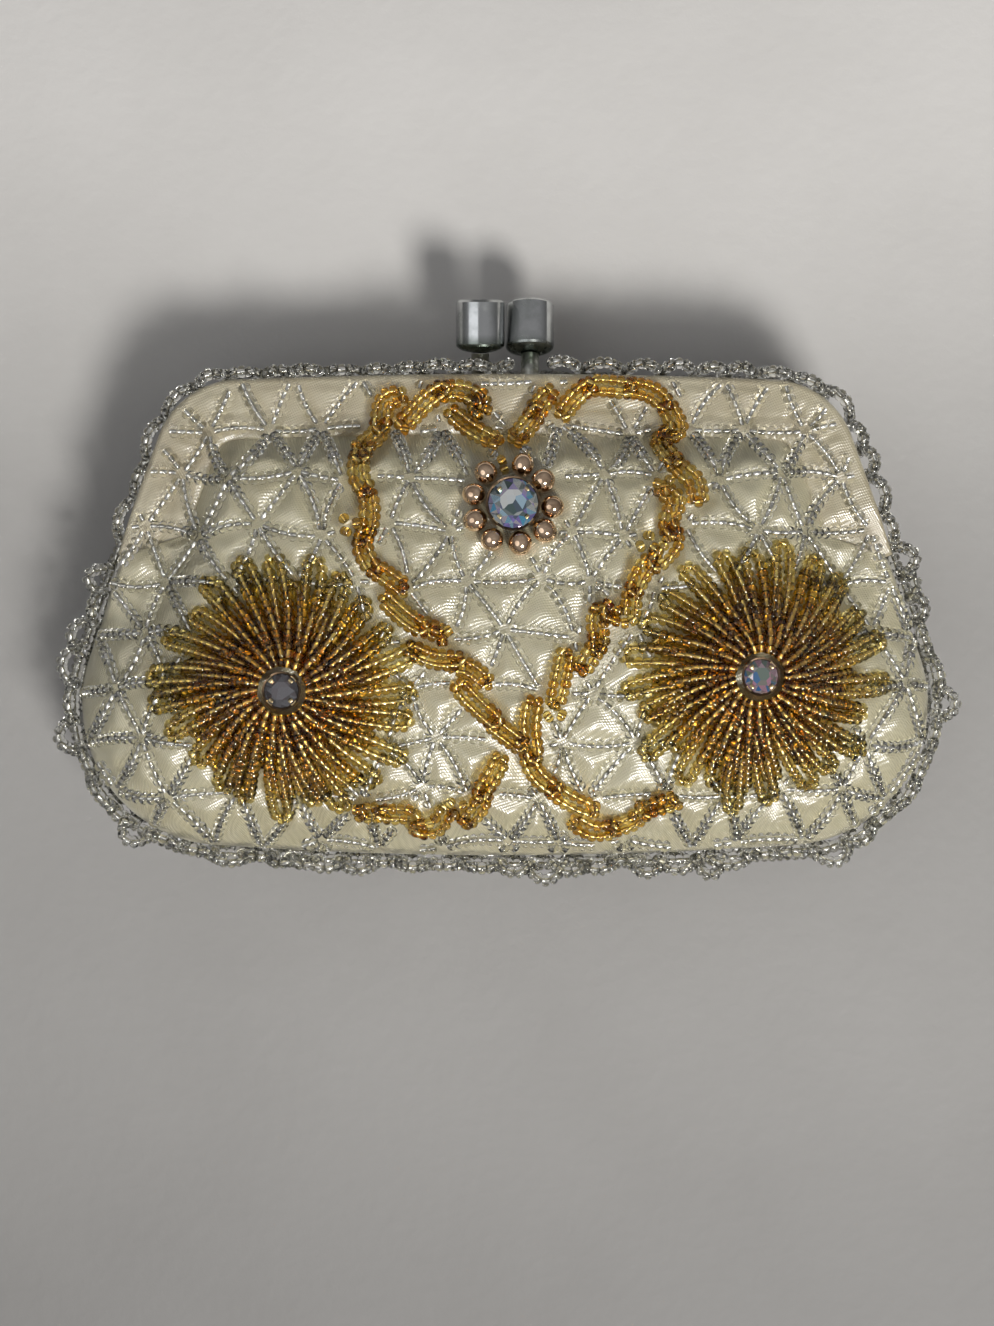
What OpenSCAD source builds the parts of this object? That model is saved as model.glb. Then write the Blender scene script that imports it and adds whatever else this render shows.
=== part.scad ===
// A beaded satin kiss lock purse, lying on its back. Millimetres.
// +X is to the right, +Y is toward the kiss lock and +Z is out of the beaded front.

/* [Outline] */
// Distance of the top corner centres from the middle
top_corner_x = 39; // [37:0.5:41]
// Height of the top corner centres along the purse
top_corner_y = 17.5; // [16:0.5:19]
// Radius of the top corners of the satin
top_corner_r = 12.3; // [12:0.1:13.5]
// Distance of the bottom corner centres from the middle
bottom_corner_x = 42; // [40:0.5:44]
// Height of the bottom corner centres along the purse
bottom_corner_y = -17.5; // [-19:0.5:-16]
// Radius of the bottom corners of the satin
bottom_corner_r = 21.3; // [20:0.1:22.5]
// Rise of the top edge in the middle
top_bow = 0.8; // [0.2:0.1:1.2]
// Drop of the bottom edge in the middle
bottom_bow = 1.5; // [0.2:0.1:2]

/* [Padded body] */
// Height of the parting plane between the two halves above the table
parting_z = 14; // [13.5:0.1:15.5]
// Depth of the padded front, from the parting plane
front_depth = 14; // [12:0.1:16]
// Depth that the padded back would have if it did not lie flat
back_depth = 13.2; // [12.8:0.1:15]
// Distance in from the edge over which the padding rises
dome_run = 33; // [30:0.5:36]
// Fullness of the padding at its crown
pillow_crown = 2.2; // [1.8:0.1:3]
// Steepness of the padding at its edge
pillow_edge = 0.6; // [0.5:0.05:0.8]
// Thickness of the satin with its padding
panel_t = 1.6; // [1.2:0.1:2]
// Thickness of the lining
lining_t = 0.6; // [0.4:0.1:0.8]
// Gap between the padding and the lining
lining_gap = 0.3; // [0.2:0.05:0.4]
// Length of cloth that flexes below the hinge line when the purse opens
fold_run = 9; // [9:0.5:11]
// Gap between two stretches of cloth
cloth_gap = 0.3; // [0.2:0.05:0.5]

/* [Metal frame] */
// Thickness of the frame sheet
frame_t = 0.8; // [0.6:0.1:1]
// Depth of each frame half, from the parting plane to its face
frame_depth = 6; // [5.5:0.1:7]
// Width of the frame face, from the edge of the satin
band_w = 8; // [6.5:0.1:8.4]
// Gap between the two frame halves
parting_gap = 0.3; // [0.2:0.05:0.5]
// Thickness of the satin that covers the frame
cover_t = 0.5; // [0.3:0.05:0.7]
// Gap between the frame and its satin
cover_gap = 0.1; // [0.05:0.01:0.15]
// Height of the hinge along the purse
hinge_y = 0.5; // [-1:0.5:2]
// Distance from the hinge to the ends of the frame arms
arm_end = 4; // [3.8:0.1:4.5]
// Distance of the front ears inside the ends of their arms
ear_in = 1.2; // [0.9:0.1:1.5]
// Depth that is left at the ends of the arms
arm_tip = 3.8; // [3.5:0.1:5]
// Length over which the arms taper to their ends
arm_taper = 7; // [5:0.5:10]

/* [Hinge] */
// Radius of the hinge ears
ear_r = 3.2; // [2.8:0.1:3.4]
// Gap between the front and the back ear
ear_gap = 0.15; // [0.1:0.05:0.3]
// Radius of the hinge rivets
rivet_r = 1; // [0.8:0.05:1.2]
// Running clearance of the rivets in the ears
rivet_fit = 0.05; // [0.03:0.01:0.08]
// Radius of the rivet heads
rivet_head_r = 1.8; // [1.6:0.1:2.1]
// Thickness of the rivet heads
rivet_head_t = 0.6; // [0.4:0.1:0.8]

/* [Kiss lock] */
// Diameter of the lock knobs
knob_d = 7.3; // [6:0.1:8]
// Length of the straight part of a knob
knob_h = 6.5; // [5:0.1:8]
// Height of the domed underside of a knob
knob_dome = 1.3; // [0.8:0.1:1.8]
// Clearance between the knobs as they pass
knob_fit = 0.12; // [0.08:0.01:0.3]
// How far each knob lies beyond the parting plane, past the other one
knob_cross = 1.3; // [0.8:0.1:1.8]
// Lean of the knobs
knob_lean = 8; // [4:1:10]
// Height of the knob undersides above the top edge
knob_rise = 4.2; // [3.6:0.1:5.5]
// Diameter of the stems
stem_d = 2.7; // [2.2:0.1:3]
// Distance of the stem feet from the parting plane
stem_foot_z = 2; // [1.9:0.1:3]

/* [Beads] */
// Diameter of the seed beads
bead_d = 2.1; // [1.8:0.05:2.2]
// Gap between the bead strings and the satin
bead_gap = 0.3; // [0.2:0.05:0.4]
// Distance between the stars of the bead net
net_pitch = 8.8; // [8:0.1:10]
// Distance between the rows of the bead net
net_row = 7.6; // [7:0.1:8.6]
// Open space round each star of the net
star_gap = 2.15; // [2:0.05:2.6]
// Distance of the outermost net stars from the edge
net_edge = 3; // [2.6:0.1:5]
// Thickness of the net where the purse lies on it
rest_net_t = 1.8; // [1.5:0.1:2]
// Number of net gaps from the middle to the end of the area that the purse lies on
rest_half = 5; // [4:1:5]
// First row of that area
rest_low = -4; // [-4:1:-3]
// Last row of that area
rest_high = 2; // [1:1:2]

/* [Flowers] */
// Place of the left flower across the purse
left_flower_x = -31.5; // [-33:0.5:-30.5]
// Place of the left flower along the purse
left_flower_y = -15.4; // [-16.4:0.2:-14.8]
// Place of the right flower across the purse
right_flower_x = 35.9; // [35.1:0.2:36.5]
// Place of the right flower along the purse
right_flower_y = -13.4; // [-15:0.2:-13]
// Radius of the flowers
flower_r = 18; // [15:0.5:19]
// Number of long loops in a flower
long_loops = 12; // [9:1:12]
// Number of short loops above them
short_loops = 8; // [6:1:8]
// Radius that the short loops reach
short_r = 12.5; // [10:0.5:14]
// Widest half spread of a loop
loop_spread = 1.5; // [1.2:0.1:1.7]
// Diameter of the flower stones
flower_stone_d = 4.8; // [4:0.1:5.2]
// Height of the flower cups above the loops' root
flower_cup_h = 1.8; // [1.5:0.1:2.4]

/* [Centre jewel] */
// Place of the jewel across the purse
jewel_x = 1.1; // [0:0.1:2]
// Place of the jewel along the purse
jewel_y = 11.2; // [10.8:0.1:12]
// Diameter of the centre stone
stone_d = 7.1; // [6.5:0.1:7.4]
// Height of its cup
cup_h = 2.6; // [2.2:0.1:3]
// Wall of the cups
cup_t = 0.35; // [0.25:0.05:0.5]
// Diameter of the metal beads round it
ring_bead_d = 3; // [2.6:0.1:3.2]
// Gap between the cup and the metal beads
ring_gap = 0.5; // [0.4:0.05:0.8]
// Number of metal beads
ring_beads = 9; // [7:1:10]

/* [Hidden] */

// Steps of the round corners and of the bowed edges; the linings take fewer
$corner_steps = 6;
$edge_steps = 10;
lining_corner_steps = 3;
lining_edge_steps = 6;
side_steps = 4;
round_fn = 48;
eps = 0.01;
far = 100;

// Routes of the gold strings over the front, as their maker laid them
scroll_routes = [
    [[-15, 27.5], [-17.5, 26.5], [-18.5, 22], [-20.5, 19.5], [-21, 15], [-19.5, 12], [-19.5, 8.5],
        [-20.5, 5.5], [-19, 2.5], [-17, 1], [-14.5, -1]],
    [[-15.5, 23.5], [-11.5, 26.5], [-8, 28], [-5.5, 28], [-3.5, 27], [-4.5, 25]],
    [[-8, 25], [-5.5, 23], [-3, 21.5], [-1, 20.6]],
    [[1.5, 20.8], [3.5, 23.5], [5, 26], [6.5, 28.2]],
    [[8, 24.8], [10, 27], [12.5, 28.6], [15, 28.8], [19, 28.5], [22, 27.5], [24, 25], [25, 22.5],
        [22.5, 20.5], [25, 16.5], [27, 14.5], [27.5, 11.5]],
    [[22.5, 13.5], [24.5, 11.5], [23, 8.5], [24, 5.5], [20, 2], [18, -1], [17.5, -5], [13.5, -4.5],
        [13, -8.5], [11, -12.5]],
    [[-17.5, -2.5], [-14, -5], [-9, -7.5]],
    [[-13.5, -9], [-10, -11], [-5.5, -12], [-3, -14.5]],
    [[-6.5, -14.5], [-4, -17.5], [0.5, -22], [2, -23.5]],
    [[8.5, -10], [8, -13], [7, -18.5]],
    [[4.5, -17], [3.5, -21], [4, -26.5], [7, -30], [11, -32], [13.5, -32.5]],
    [[-1, -25], [-2.5, -29], [-4, -32.5], [-6, -34.5]],
    [[-8.5, -32.5], [-10, -35.2], [-12.5, -35.5], [-14, -33.5], [-17.5, -33.5], [-21, -33]],
    [[10, -34.6], [13, -36], [16, -35.5], [18.5, -34.5], [21, -32.5], [24.5, -31.5]]];

half_gap = parting_gap / 2;
wall_out = cover_t + cover_gap;
wall_in = wall_out + frame_t;
rim_in = wall_in + cloth_gap;
flange_under = frame_depth - frame_t;
band_top = frame_depth + cover_gap + cover_t;
arm_y = hinge_y + arm_end;
yoke_y = hinge_y + cloth_gap;
panel_y = hinge_y - fold_run;
back_flat = parting_z - rest_net_t - bead_gap;
lining_in = panel_t + lining_gap;
left_flower = [left_flower_x, left_flower_y];
right_flower = [right_flower_x, right_flower_y];
jewel = [jewel_x, jewel_y];
jewel_r = stone_d / 2 + cup_t + ring_gap + ring_bead_d;

// The straight side touches both corner circles; side_n points out of it
corner_run = [top_corner_x - bottom_corner_x, top_corner_y - bottom_corner_y];
side_angle = atan2(corner_run.y, corner_run.x)
    - acos((bottom_corner_r - top_corner_r) / norm(corner_run));
side_n = [cos(side_angle), sin(side_angle)];
side_reach = side_n * [bottom_corner_x, bottom_corner_y] + bottom_corner_r;

function mix(a, b, t) = a * (1 - t) + b * t;
function clamp01(t) = min(1, max(0, t));
function ease(t) = let (u = clamp01(t)) u * u * (3 - 2 * u);
function flip(points) = [for (i = [len(points) - 1 : -1 : 0]) [-points[i].x, points[i].y]];
function arc(centre, r, a0, a1, steps) =
    [for (i = [0 : steps]) let (a = mix(a0, a1, i / steps)) centre + r * [cos(a), sin(a)]];

// The outline and its insets: the half width at a height, and the top and bottom edges
function top_edge(x) = top_corner_y + top_corner_r
    + top_bow * max(0, 1 - pow(x / top_corner_x, 2));
function bottom_edge(x) = bottom_corner_y - bottom_corner_r
    - bottom_bow * max(0, 1 - pow(x / bottom_corner_x, 2));
function side_top(inset) = top_corner_y + (top_corner_r - inset) * side_n.y;
function side_bottom(inset) = bottom_corner_y + (bottom_corner_r - inset) * side_n.y;
function half_width(y, inset = 0) =
    y > side_top(inset)
        ? top_corner_x + sqrt(max(0, pow(top_corner_r - inset, 2) - pow(y - top_corner_y, 2)))
    : y > side_bottom(inset) ? (side_reach - inset - side_n.y * y) / side_n.x
    : bottom_corner_x
        + sqrt(max(0, pow(bottom_corner_r - inset, 2) - pow(y - bottom_corner_y, 2)));

// The upper and the lower run of the outline, both laid anticlockwise
function upper_half_rim(y0, inset) = concat(
    [for (i = [0 : side_steps - 1])
        let (y = mix(y0, top_corner_y, i / side_steps)) [half_width(y, inset), y]],
    arc([top_corner_x, top_corner_y], top_corner_r - inset, side_angle, 90, $corner_steps));
function upper_rim(y0, inset) = concat(
    upper_half_rim(y0, inset),
    [for (i = [1 : $edge_steps - 1])
        let (x = mix(top_corner_x, -top_corner_x, i / $edge_steps)) [x, top_edge(x) - inset]],
    flip(upper_half_rim(y0, inset)));
function lower_half_rim(y0, inset) = concat(
    arc([bottom_corner_x, bottom_corner_y], bottom_corner_r - inset, -90, side_angle,
        $corner_steps + 2),
    [for (i = [1 : side_steps - 1])
        let (y = mix(side_bottom(0), y0, i / (side_steps - 1))) [half_width(y, inset), y]]);
function lower_rim(y0, inset) = concat(
    flip(lower_half_rim(y0, inset)),
    [for (i = [1 : $edge_steps - 1])
        let (x = mix(-bottom_corner_x, bottom_corner_x, i / $edge_steps))
            [x, bottom_edge(x) + inset]],
    lower_half_rim(y0, inset));
function without_ends(points) = [for (i = [1 : len(points) - 2]) points[i]];
function outline(inset) = concat(upper_rim(hinge_y, inset), without_ends(lower_rim(hinge_y, inset)));

// Distance of a point from the edge of the satin
function edge_gap(p) =
    let (x = abs(p.x),
        top = [x - top_corner_x, p.y - top_corner_y],
        low = [x - bottom_corner_x, p.y - bottom_corner_y])
    top.x > 0 && atan2(top.y, top.x) > side_angle ? top_corner_r - norm(top)
    : low.x > 0 && atan2(low.y, low.x) < side_angle ? bottom_corner_r - norm(low)
    : min(top_edge(x) - p.y, side_reach - side_n * [x, p.y], p.y - bottom_edge(x));

// Height of the padding over the parting plane: free below the hinge, held by the frame above it
function pillow(t) = pow(1 - pow(1 - clamp01(t), pillow_crown), pillow_edge);
function free_z(gap, depth) = depth * pillow(gap / dome_run);
function held_z(gap, depth) = gap < band_w ? band_top
    : band_top + (depth - band_top) * pillow((gap - band_w) / (dome_run - band_w));
function held(y) = ease((y - panel_y) / (hinge_y - panel_y));
function cloth_z(p, depth) = let (gap = edge_gap(p))
    mix(free_z(gap, depth), held_z(gap, depth), held(p.y));
function front_z(p) = cloth_z(p, front_depth);
function back_z(p) = min(back_flat, cloth_z(p, back_depth));

// A closed solid between two grids of points with the same rows and columns. The last row of
// a loop is closed by a fan from a point on a round corner, in line with no straight side
apex = side_steps + 2;
function quad(a, b, c, d) = [[a, b, c], [a, c, d]];
function flat(lists) = [for (list = lists) each list];
function sheet_faces(rows, cols, loop) =
    let (o = function (j, i) j * cols + i % cols,
        n = function (j, i) rows * cols + j * cols + i % cols,
        last = loop ? cols - 1 : cols - 2)
    flat(concat(
        [for (j = [0 : rows - 2], i = [0 : last])
            quad(o(j, i), o(j + 1, i), o(j + 1, i + 1), o(j, i + 1))],
        [for (j = [0 : rows - 2], i = [0 : last])
            quad(n(j + 1, i + 1), n(j + 1, i), n(j, i), n(j, i + 1))],
        [for (i = [0 : last]) quad(o(0, i), o(0, i + 1), n(0, i + 1), n(0, i))],
        loop ? [] : [for (i = [0 : last])
            quad(o(rows - 1, i + 1), o(rows - 1, i), n(rows - 1, i), n(rows - 1, i + 1))],
        loop ? [] : [for (j = [0 : rows - 2]) quad(o(j + 1, 0), o(j, 0), n(j, 0), n(j + 1, 0))],
        loop ? [] : [for (j = [0 : rows - 2])
            quad(o(j, cols - 1), o(j + 1, cols - 1), n(j + 1, cols - 1), n(j, cols - 1))],
        loop ? [[for (i = [1 : cols - 2])
            [o(rows - 1, apex), o(rows - 1, apex + i + 1), o(rows - 1, apex + i)]]] : [],
        loop ? [[for (i = [1 : cols - 2])
            [n(rows - 1, apex), n(rows - 1, apex + i), n(rows - 1, apex + i + 1)]]] : []));
module sheet(outer, inner, loop = false)
    polyhedron(concat(flat(outer), flat(inner)),
        sheet_faces(len(outer), len(outer[0]), loop), convexity = 8);

function raise(points, z) = [for (p = points) [p.x, p.y, z]];
function rise(points, skin) = [for (p = points) [p.x, p.y, front_z(p) - skin]];
function spread(count, x, y) = [for (i = [0 : count - 1]) [mix(x, -x, i / (count - 1)), y]];
function blend_rows(a, b, t) = [for (i = [0 : len(a) - 1]) mix(a[i], b[i], t)];

// The part of the front that the front frame holds, at a depth of skin under its face
shoulder = 1.1;
crease_run = 0.3;
crown_shares = [0.15, 0.35, 0.65, 0.999];
function yoke_rows(skin) =
    let (rim = upper_rim(yoke_y, rim_in + skin),
        under = upper_rim(yoke_y, band_w + cloth_gap + skin),
        crease = upper_rim(yoke_y, band_w + cloth_gap + crease_run + skin),
        crown = upper_rim(yoke_y, band_w + shoulder + skin),
        spine = spread(len(rim), half_width(yoke_y, dome_run / 2), yoke_y))
    concat([raise(rim, half_gap), raise(rim, flange_under - cloth_gap - skin),
        raise(under, flange_under - cloth_gap - skin),
        raise(crease, held_z(band_w + cloth_gap + crease_run, front_depth) - skin),
        raise(crown, held_z(band_w + shoulder, front_depth) - skin)],
        [for (t = crown_shares) rise(blend_rows(crown, spine, t), skin)]);
module yoke_cloth(skin, thick) sheet(yoke_rows(skin), yoke_rows(skin + thick));

// The part of the front below the fold
rim_insets = [0, 0.4, 1.3, 3, 5.5, 9, 13];
function panel_rows(skin) =
    let (inmost = lower_rim(panel_y, rim_insets[6] + skin),
        spine = [for (p = spread(len(inmost), half_width(panel_y, dome_run / 2), panel_y))
            [-p.x, p.y]])
    concat([for (j = [0 : 6]) raise(lower_rim(panel_y, rim_insets[j] + skin),
            max(j * 2 * eps, free_z(rim_insets[j], front_depth) - skin))],
        [for (t = [0.3, 0.65, 1]) rise(blend_rows(inmost, spine, t), skin)]);
module panel_cloth(skin, thick) sheet(panel_rows(skin), panel_rows(skin + thick));

// The strip that flexes between the two
function fold_row(y, skin) =
    let (side = [for (n = rim_insets) [half_width(y, n + skin), y,
            max(n > 0 ? 2 * eps : 0, cloth_z([half_width(y, n), y], front_depth) * (n > 0 ? 1 : 0) - skin)]],
        inner_x = half_width(y, rim_insets[6] + skin),
        middle = [for (i = [1 : 7]) let (x = mix(-inner_x, inner_x, i / 8))
            [x, y, front_z([x, y]) - skin]])
    concat([for (p = side) [-p.x, p.y, p.z]], middle,
        [for (j = [6 : -1 : 0]) side[j]]);
module fold_cloth(skin, thick)
    let (ys = [for (t = [0 : 0.25 : 1]) mix(panel_y + cloth_gap, yoke_y - cloth_gap, t)])
    sheet([for (y = ys) fold_row(y, skin)], [for (y = ys) fold_row(y, skin + thick)]);

// The padded back in one piece, drawn face up and turned over where it is used
hub = [0, -8];
hub_share = 0.4;
held_insets = [rim_in, rim_in, band_w + cloth_gap, band_w + cloth_gap + crease_run,
    band_w + shoulder];
free_insets = [0, 0.4, 3, 5.5, 9];
held_levels = [0, flange_under - cloth_gap, flange_under - cloth_gap,
    held_z(band_w + cloth_gap + crease_run, back_depth), held_z(band_w + shoulder, back_depth)];
function back_ring(j, skin) =
    let (count = len(outline(0)),
        free = outline(free_insets[j] + skin), tight = outline(held_insets[j] + skin))
    [for (i = [0 : count - 1])
        let (w = held(free[i].y), p = mix(free[i], tight[i], w),
            z = mix(free_z(free_insets[j], back_depth), held_levels[j], w))
        [p.x, p.y, j == 0 ? half_gap : max(half_gap + j * eps, z - skin)]];
function back_rows(skin) =
    let (inmost = back_ring(4, skin),
        core = [for (p = outline(0)) mix(hub, p, hub_share)])
    concat([for (j = [0 : 4]) back_ring(j, skin)],
        [for (t = [0.25, 0.5, 0.75, 1])
            [for (i = [0 : len(core) - 1])
                let (p = mix([inmost[i].x, inmost[i].y], core[i], t))
                [p.x, p.y, (t == 1 ? back_flat : back_z(p)) - skin]]]);
module back_cloth(skin, thick) sheet(back_rows(skin), back_rows(skin + thick), loop = true);

// Each half is drawn over the parting plane; the back half is turned over
module front_half() translate([0, 0, parting_z]) children();
module back_half() translate([0, 0, parting_z]) mirror([0, 0, 1]) children();

// Places of the hinge plates
front_ear_x = half_width(arm_y, wall_in) - ear_in;
back_ear_x = front_ear_x - ear_gap - frame_t;

room_in = back_ear_x - rivet_head_t - 2 * cloth_gap;
room_out = front_ear_x + frame_t + rivet_head_t + cloth_gap;
function ear_top(x) = (side_reach - wall_out - side_n.x * x) / side_n.y;

// Room for the ears and the rivets in the cloth
module hinge_room(depth)
    for (side = [0, 1]) mirror([side, 0, 0])
        translate([room_in, hinge_y - depth, -depth])
            cube([room_out - room_in, ear_top(back_ear_x) + cloth_gap - hinge_y + depth, 2 * depth]);

// A band along the frame's U, between two insets
module frame_band(n0, n1, h)
    linear_extrude(h) difference() {
        polygon(outline(n0));
        polygon(outline(n1));
        translate([-far, arm_y - far]) square([2 * far, far]);
    }

// Takes the slanted ends off the arms
module arm_ends()
    for (side = [0, 1]) mirror([side, 0, 0])
        translate([top_corner_x, arm_y, arm_tip])
            rotate([atan2(band_top + eps - arm_tip, arm_taper), 0, 0])
                translate([0, -arm_taper, 0]) cube([bottom_corner_r, 3 * arm_taper, band_top]);

module ear(x)
    for (side = [0, 1]) mirror([side, 0, 0]) {
        intersection() {
            translate([x, hinge_y, half_gap]) cube([frame_t, top_corner_y - hinge_y, ear_r - half_gap]);
            linear_extrude(ear_r) polygon(outline(wall_out));
        }
        translate([x, hinge_y, 0]) rotate([0, 90, 0]) cylinder(h = frame_t, r = ear_r, $fn = round_fn);
    }

module frame_half(ear_x, stem_x) difference() {
    union() {
        difference() {
            union() {
                translate([0, 0, half_gap]) frame_band(wall_out, wall_in, frame_depth - half_gap);
                translate([0, 0, flange_under]) frame_band(wall_out, band_w, frame_t);
            }
            arm_ends();
        }
        ear(ear_x);
    }
    translate([-far, hinge_y, 0]) rotate([0, 90, 0])
        cylinder(h = 2 * far, r = rivet_r + rivet_fit, $fn = round_fn);
    translate([stem_x, top_edge(stem_x) + eps, stem_foot_z]) rotate([90, 0, 0])
        cylinder(h = wall_in + frame_t, d = stem_d + 2 * rivet_fit, $fn = round_fn);
}

module frame_satin(stem_x) difference() {
    union() {
        translate([0, 0, half_gap]) frame_band(0, cover_t, band_top - half_gap);
        translate([0, 0, band_top - cover_t]) frame_band(0, band_w, cover_t);
    }
    translate([0, 0, cover_t]) arm_ends();
    translate([stem_x, top_edge(stem_x) + eps, stem_foot_z]) rotate([90, 0, 0])
        cylinder(h = wall_out, d = stem_d + 2 * rivet_head_t, $fn = round_fn);
}

// A kiss lock knob and its bent stem, side +1 to the right. The stem is trimmed to the knob
knob_edge = 0.35;
knob_seat = 0.05;
knob_x = (knob_d + knob_fit) / 2;
stem_head_d = stem_d + 2 * rivet_head_t;
stem_head_in = wall_in + 2 * rivet_fit + rivet_head_t;
knob_low = [0, top_edge(0) + knob_rise, -knob_cross + (knob_h / 2 + knob_dome) * sin(knob_lean)];
module knob_body(side)
    at_knob(side) rotate_extrude($fn = round_fn) polygon(concat(
        [[0, 0]],
        [for (a = [15 : 15 : 75]) [knob_d / 2 * sin(a), knob_dome * (1 - cos(a))]],
        [[knob_d / 2, knob_dome], [knob_d / 2, knob_dome + knob_h - knob_edge],
        [knob_d / 2 - knob_edge, knob_dome + knob_h], [0, knob_dome + knob_h]]));
module at_knob(side)
    translate([side * knob_x, knob_low.y, knob_low.z]) rotate([-90 - knob_lean, 0, 0]) children();
module knob_stem(side)
    let (foot = [side * knob_x, top_edge(knob_x) + rivet_fit, stem_foot_z],
        bend = foot + [0, stem_d / 2, 0],
        run = [side * knob_x, knob_low.y, knob_low.z] - bend)
    difference() {
        union() {
            translate(foot - [0, stem_head_in, 0]) rotate([-90, 0, 0]) {
                cylinder(h = stem_head_in + stem_d / 2, d = stem_d, $fn = round_fn);
                cylinder(h = rivet_head_t, d = stem_head_d, $fn = round_fn);
            }
            translate(bend) sphere(d = stem_d + 2 * rivet_fit, $fn = round_fn);
            translate(bend) rotate([-acos(run.z / norm(run)), 0, 0])
                cylinder(h = norm(run) + stem_d / 2, d = stem_d, $fn = round_fn);
        }
        at_knob(side) translate([0, 0, -knob_seat]) cylinder(h = knob_h, d = knob_d, $fn = round_fn);
    }

// Room in the padding for the head of the stem, inside the frame
module stem_room(side)
    translate([side * knob_x, top_edge(knob_x), stem_foot_z]) rotate([90, 0, 0])
        cylinder(h = stem_head_in + cloth_gap, d = stem_head_d + 2 * cloth_gap, $fn = round_fn);

// One string of seed beads between two points, as a six sided rod
module string_rod(a, b)
    let (v = b - a) translate(a) rotate([0, acos(v.z / norm(v)), atan2(v.y, v.x)])
        rotate(30) cylinder(h = norm(v), d = bead_d, $fn = 6);

// The centre of a string that lies on the cloth, square out from its face
rod_h = bead_d * cos(30);
front_face = function (p) front_z(p);
back_face = function (p) back_z(p);
probe = 0.2;
function square_out(p, face) =
    let (n = [face(p - [probe, 0]) - face(p + [probe, 0]),
        face(p - [0, probe]) - face(p + [0, probe]), 2 * probe])
    n / norm(n);
function lay(p, face, lift = 0) =
    [p.x, p.y, face(p)] + square_out(p, face) * (bead_gap + rod_h / 2 + lift);

// A straight string between two stars, lifted clear of the cloth that swells under and beside it
sag_step = 0.05;
beside = 0.7;
module net_string(s, face, lift = 0) {
    along = (s[1] - s[0]) / norm(s[1] - s[0]);
    p = s[0] + star_gap * along;
    q = s[1] - star_gap * along;
    out = square_out((p + q) / 2, face);
    sag = max([for (t = [0 : sag_step : 1], d = [-beside, 0, beside])
        let (under = mix(p, q, t) + d * bead_d / 2 * [-along.y, along.x])
        ([under.x, under.y, face(under)] - mix(lay(p, face), lay(q, face), t)) * out
            + bead_gap + rod_h / 2 * (1 - abs(d) * (1 - beside))]);
    rise = lift + max(0, sag);
    string_rod(lay(p, face) + rise * out, lay(q, face) + rise * out);
}

// The triangular net: each star sends one string right and two up
net_reach = ceil(bottom_corner_x * 2 / net_pitch);
net_rows = ceil(bottom_corner_x / net_row);
function star(i, j) = [(i + (j % 2 == 0 ? 0 : 0.5)) * net_pitch, j * net_row];
function net_strings() = [for (j = [-net_rows : net_rows], i = [-net_reach : net_reach])
    let (a = star(i, j), step = j % 2 == 0 ? 0 : 1)
    each [[a, star(i + 1, j)], [a, star(i + step, j + 1)], [a, star(i + step - 1, j + 1)]]];
function on_net(s) = min(edge_gap(s[0]), edge_gap(s[1])) > net_edge;
function away(s, place, r) =
    let (cut = star_gap / norm(s[1] - s[0]), room = r + bead_d / 2 + bead_gap)
    min([for (t = [cut, 0.5, 1 - cut]) norm(mix(s[0], s[1], t) - place)]) > room;

// Smooth points along a gold string's route
function spline(a, b, c, d, t) = 0.5 * (2 * b + (c - a) * t
    + (2 * a - 5 * b + 4 * c - d) * t * t + (3 * b - a - 3 * c + d) * t * t * t);
function smooth(r) = concat([for (i = [0 : len(r) - 2], t = [0, 0.5])
    spline(r[max(0, i - 1)], r[i], r[i + 1], r[min(len(r) - 1, i + 2)], t)], [r[len(r) - 1]]);
scrolls = [for (r = scroll_routes) smooth(r)];
clear_strings = [for (s = net_strings())
    if (on_net(s) && away(s, left_flower, flower_r) && away(s, right_flower, flower_r)
        && away(s, jewel, jewel_r)) s];

// The bands of the front that move with the frame, flex, or stay
upper_from = hinge_y + fold_run - bead_d;
lower_to = panel_y - bead_d / 2;
fold_strings = [for (s = clear_strings)
    if (max(s[0].y, s[1].y) > lower_to && min(s[0].y, s[1].y) < upper_from) s];
fold_lift = 0.3;
module front_net(strings, lift = 0)
    for (s = strings) net_string(s, front_face, max(s[0].y, s[1].y) < arm_y ? lift : 0);

// A tube of six sides along a path that is never upright
tube_sides = 6;
function tube_ring(p, along, d) =
    let (t = along / norm(along), u = cross([0, 0, 1], t) / norm(cross([0, 0, 1], t)), v = cross(t, u))
    [for (k = [0 : tube_sides - 1])
        p + d / 2 * (cos(k * 360 / tube_sides) * u + sin(k * 360 / tube_sides) * v)];
module tube(path, d) {
    last = len(path) - 1;
    rings = [for (i = [0 : last])
        tube_ring(path[i], path[min(i + 1, last)] - path[max(i - 1, 0)], d)];
    function at(i, k) = i * tube_sides + k % tube_sides;
    polyhedron(flat(rings), concat(
        flat([for (i = [0 : last - 1], k = [0 : tube_sides - 1])
            quad(at(i, k), at(i + 1, k), at(i + 1, k + 1), at(i, k + 1))]),
        [for (k = [1 : tube_sides - 2]) [at(0, 0), at(0, k), at(0, k + 1)]],
        [for (k = [1 : tube_sides - 2]) [at(last, 0), at(last, k + 1), at(last, k)]]));
}
string_d = bead_d * 0.9;
scroll_lift = rod_h / 2 + 3 * bead_gap + string_d / 2;

// Gold strings lie on the satin, and rise where they pass over the net
net_near = 3.3;
net_clear = 4.3;
function gap_to(p, s) = let (v = s[1] - s[0], t = clamp01((p - s[0]) * v / (v * v)))
    norm(p - mix(s[0], s[1], t));
function scroll_rise(p) = scroll_lift * (1 - clamp01(
    (min([for (s = clear_strings) gap_to(p, s)]) - net_near) / (net_clear - net_near)));

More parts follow.
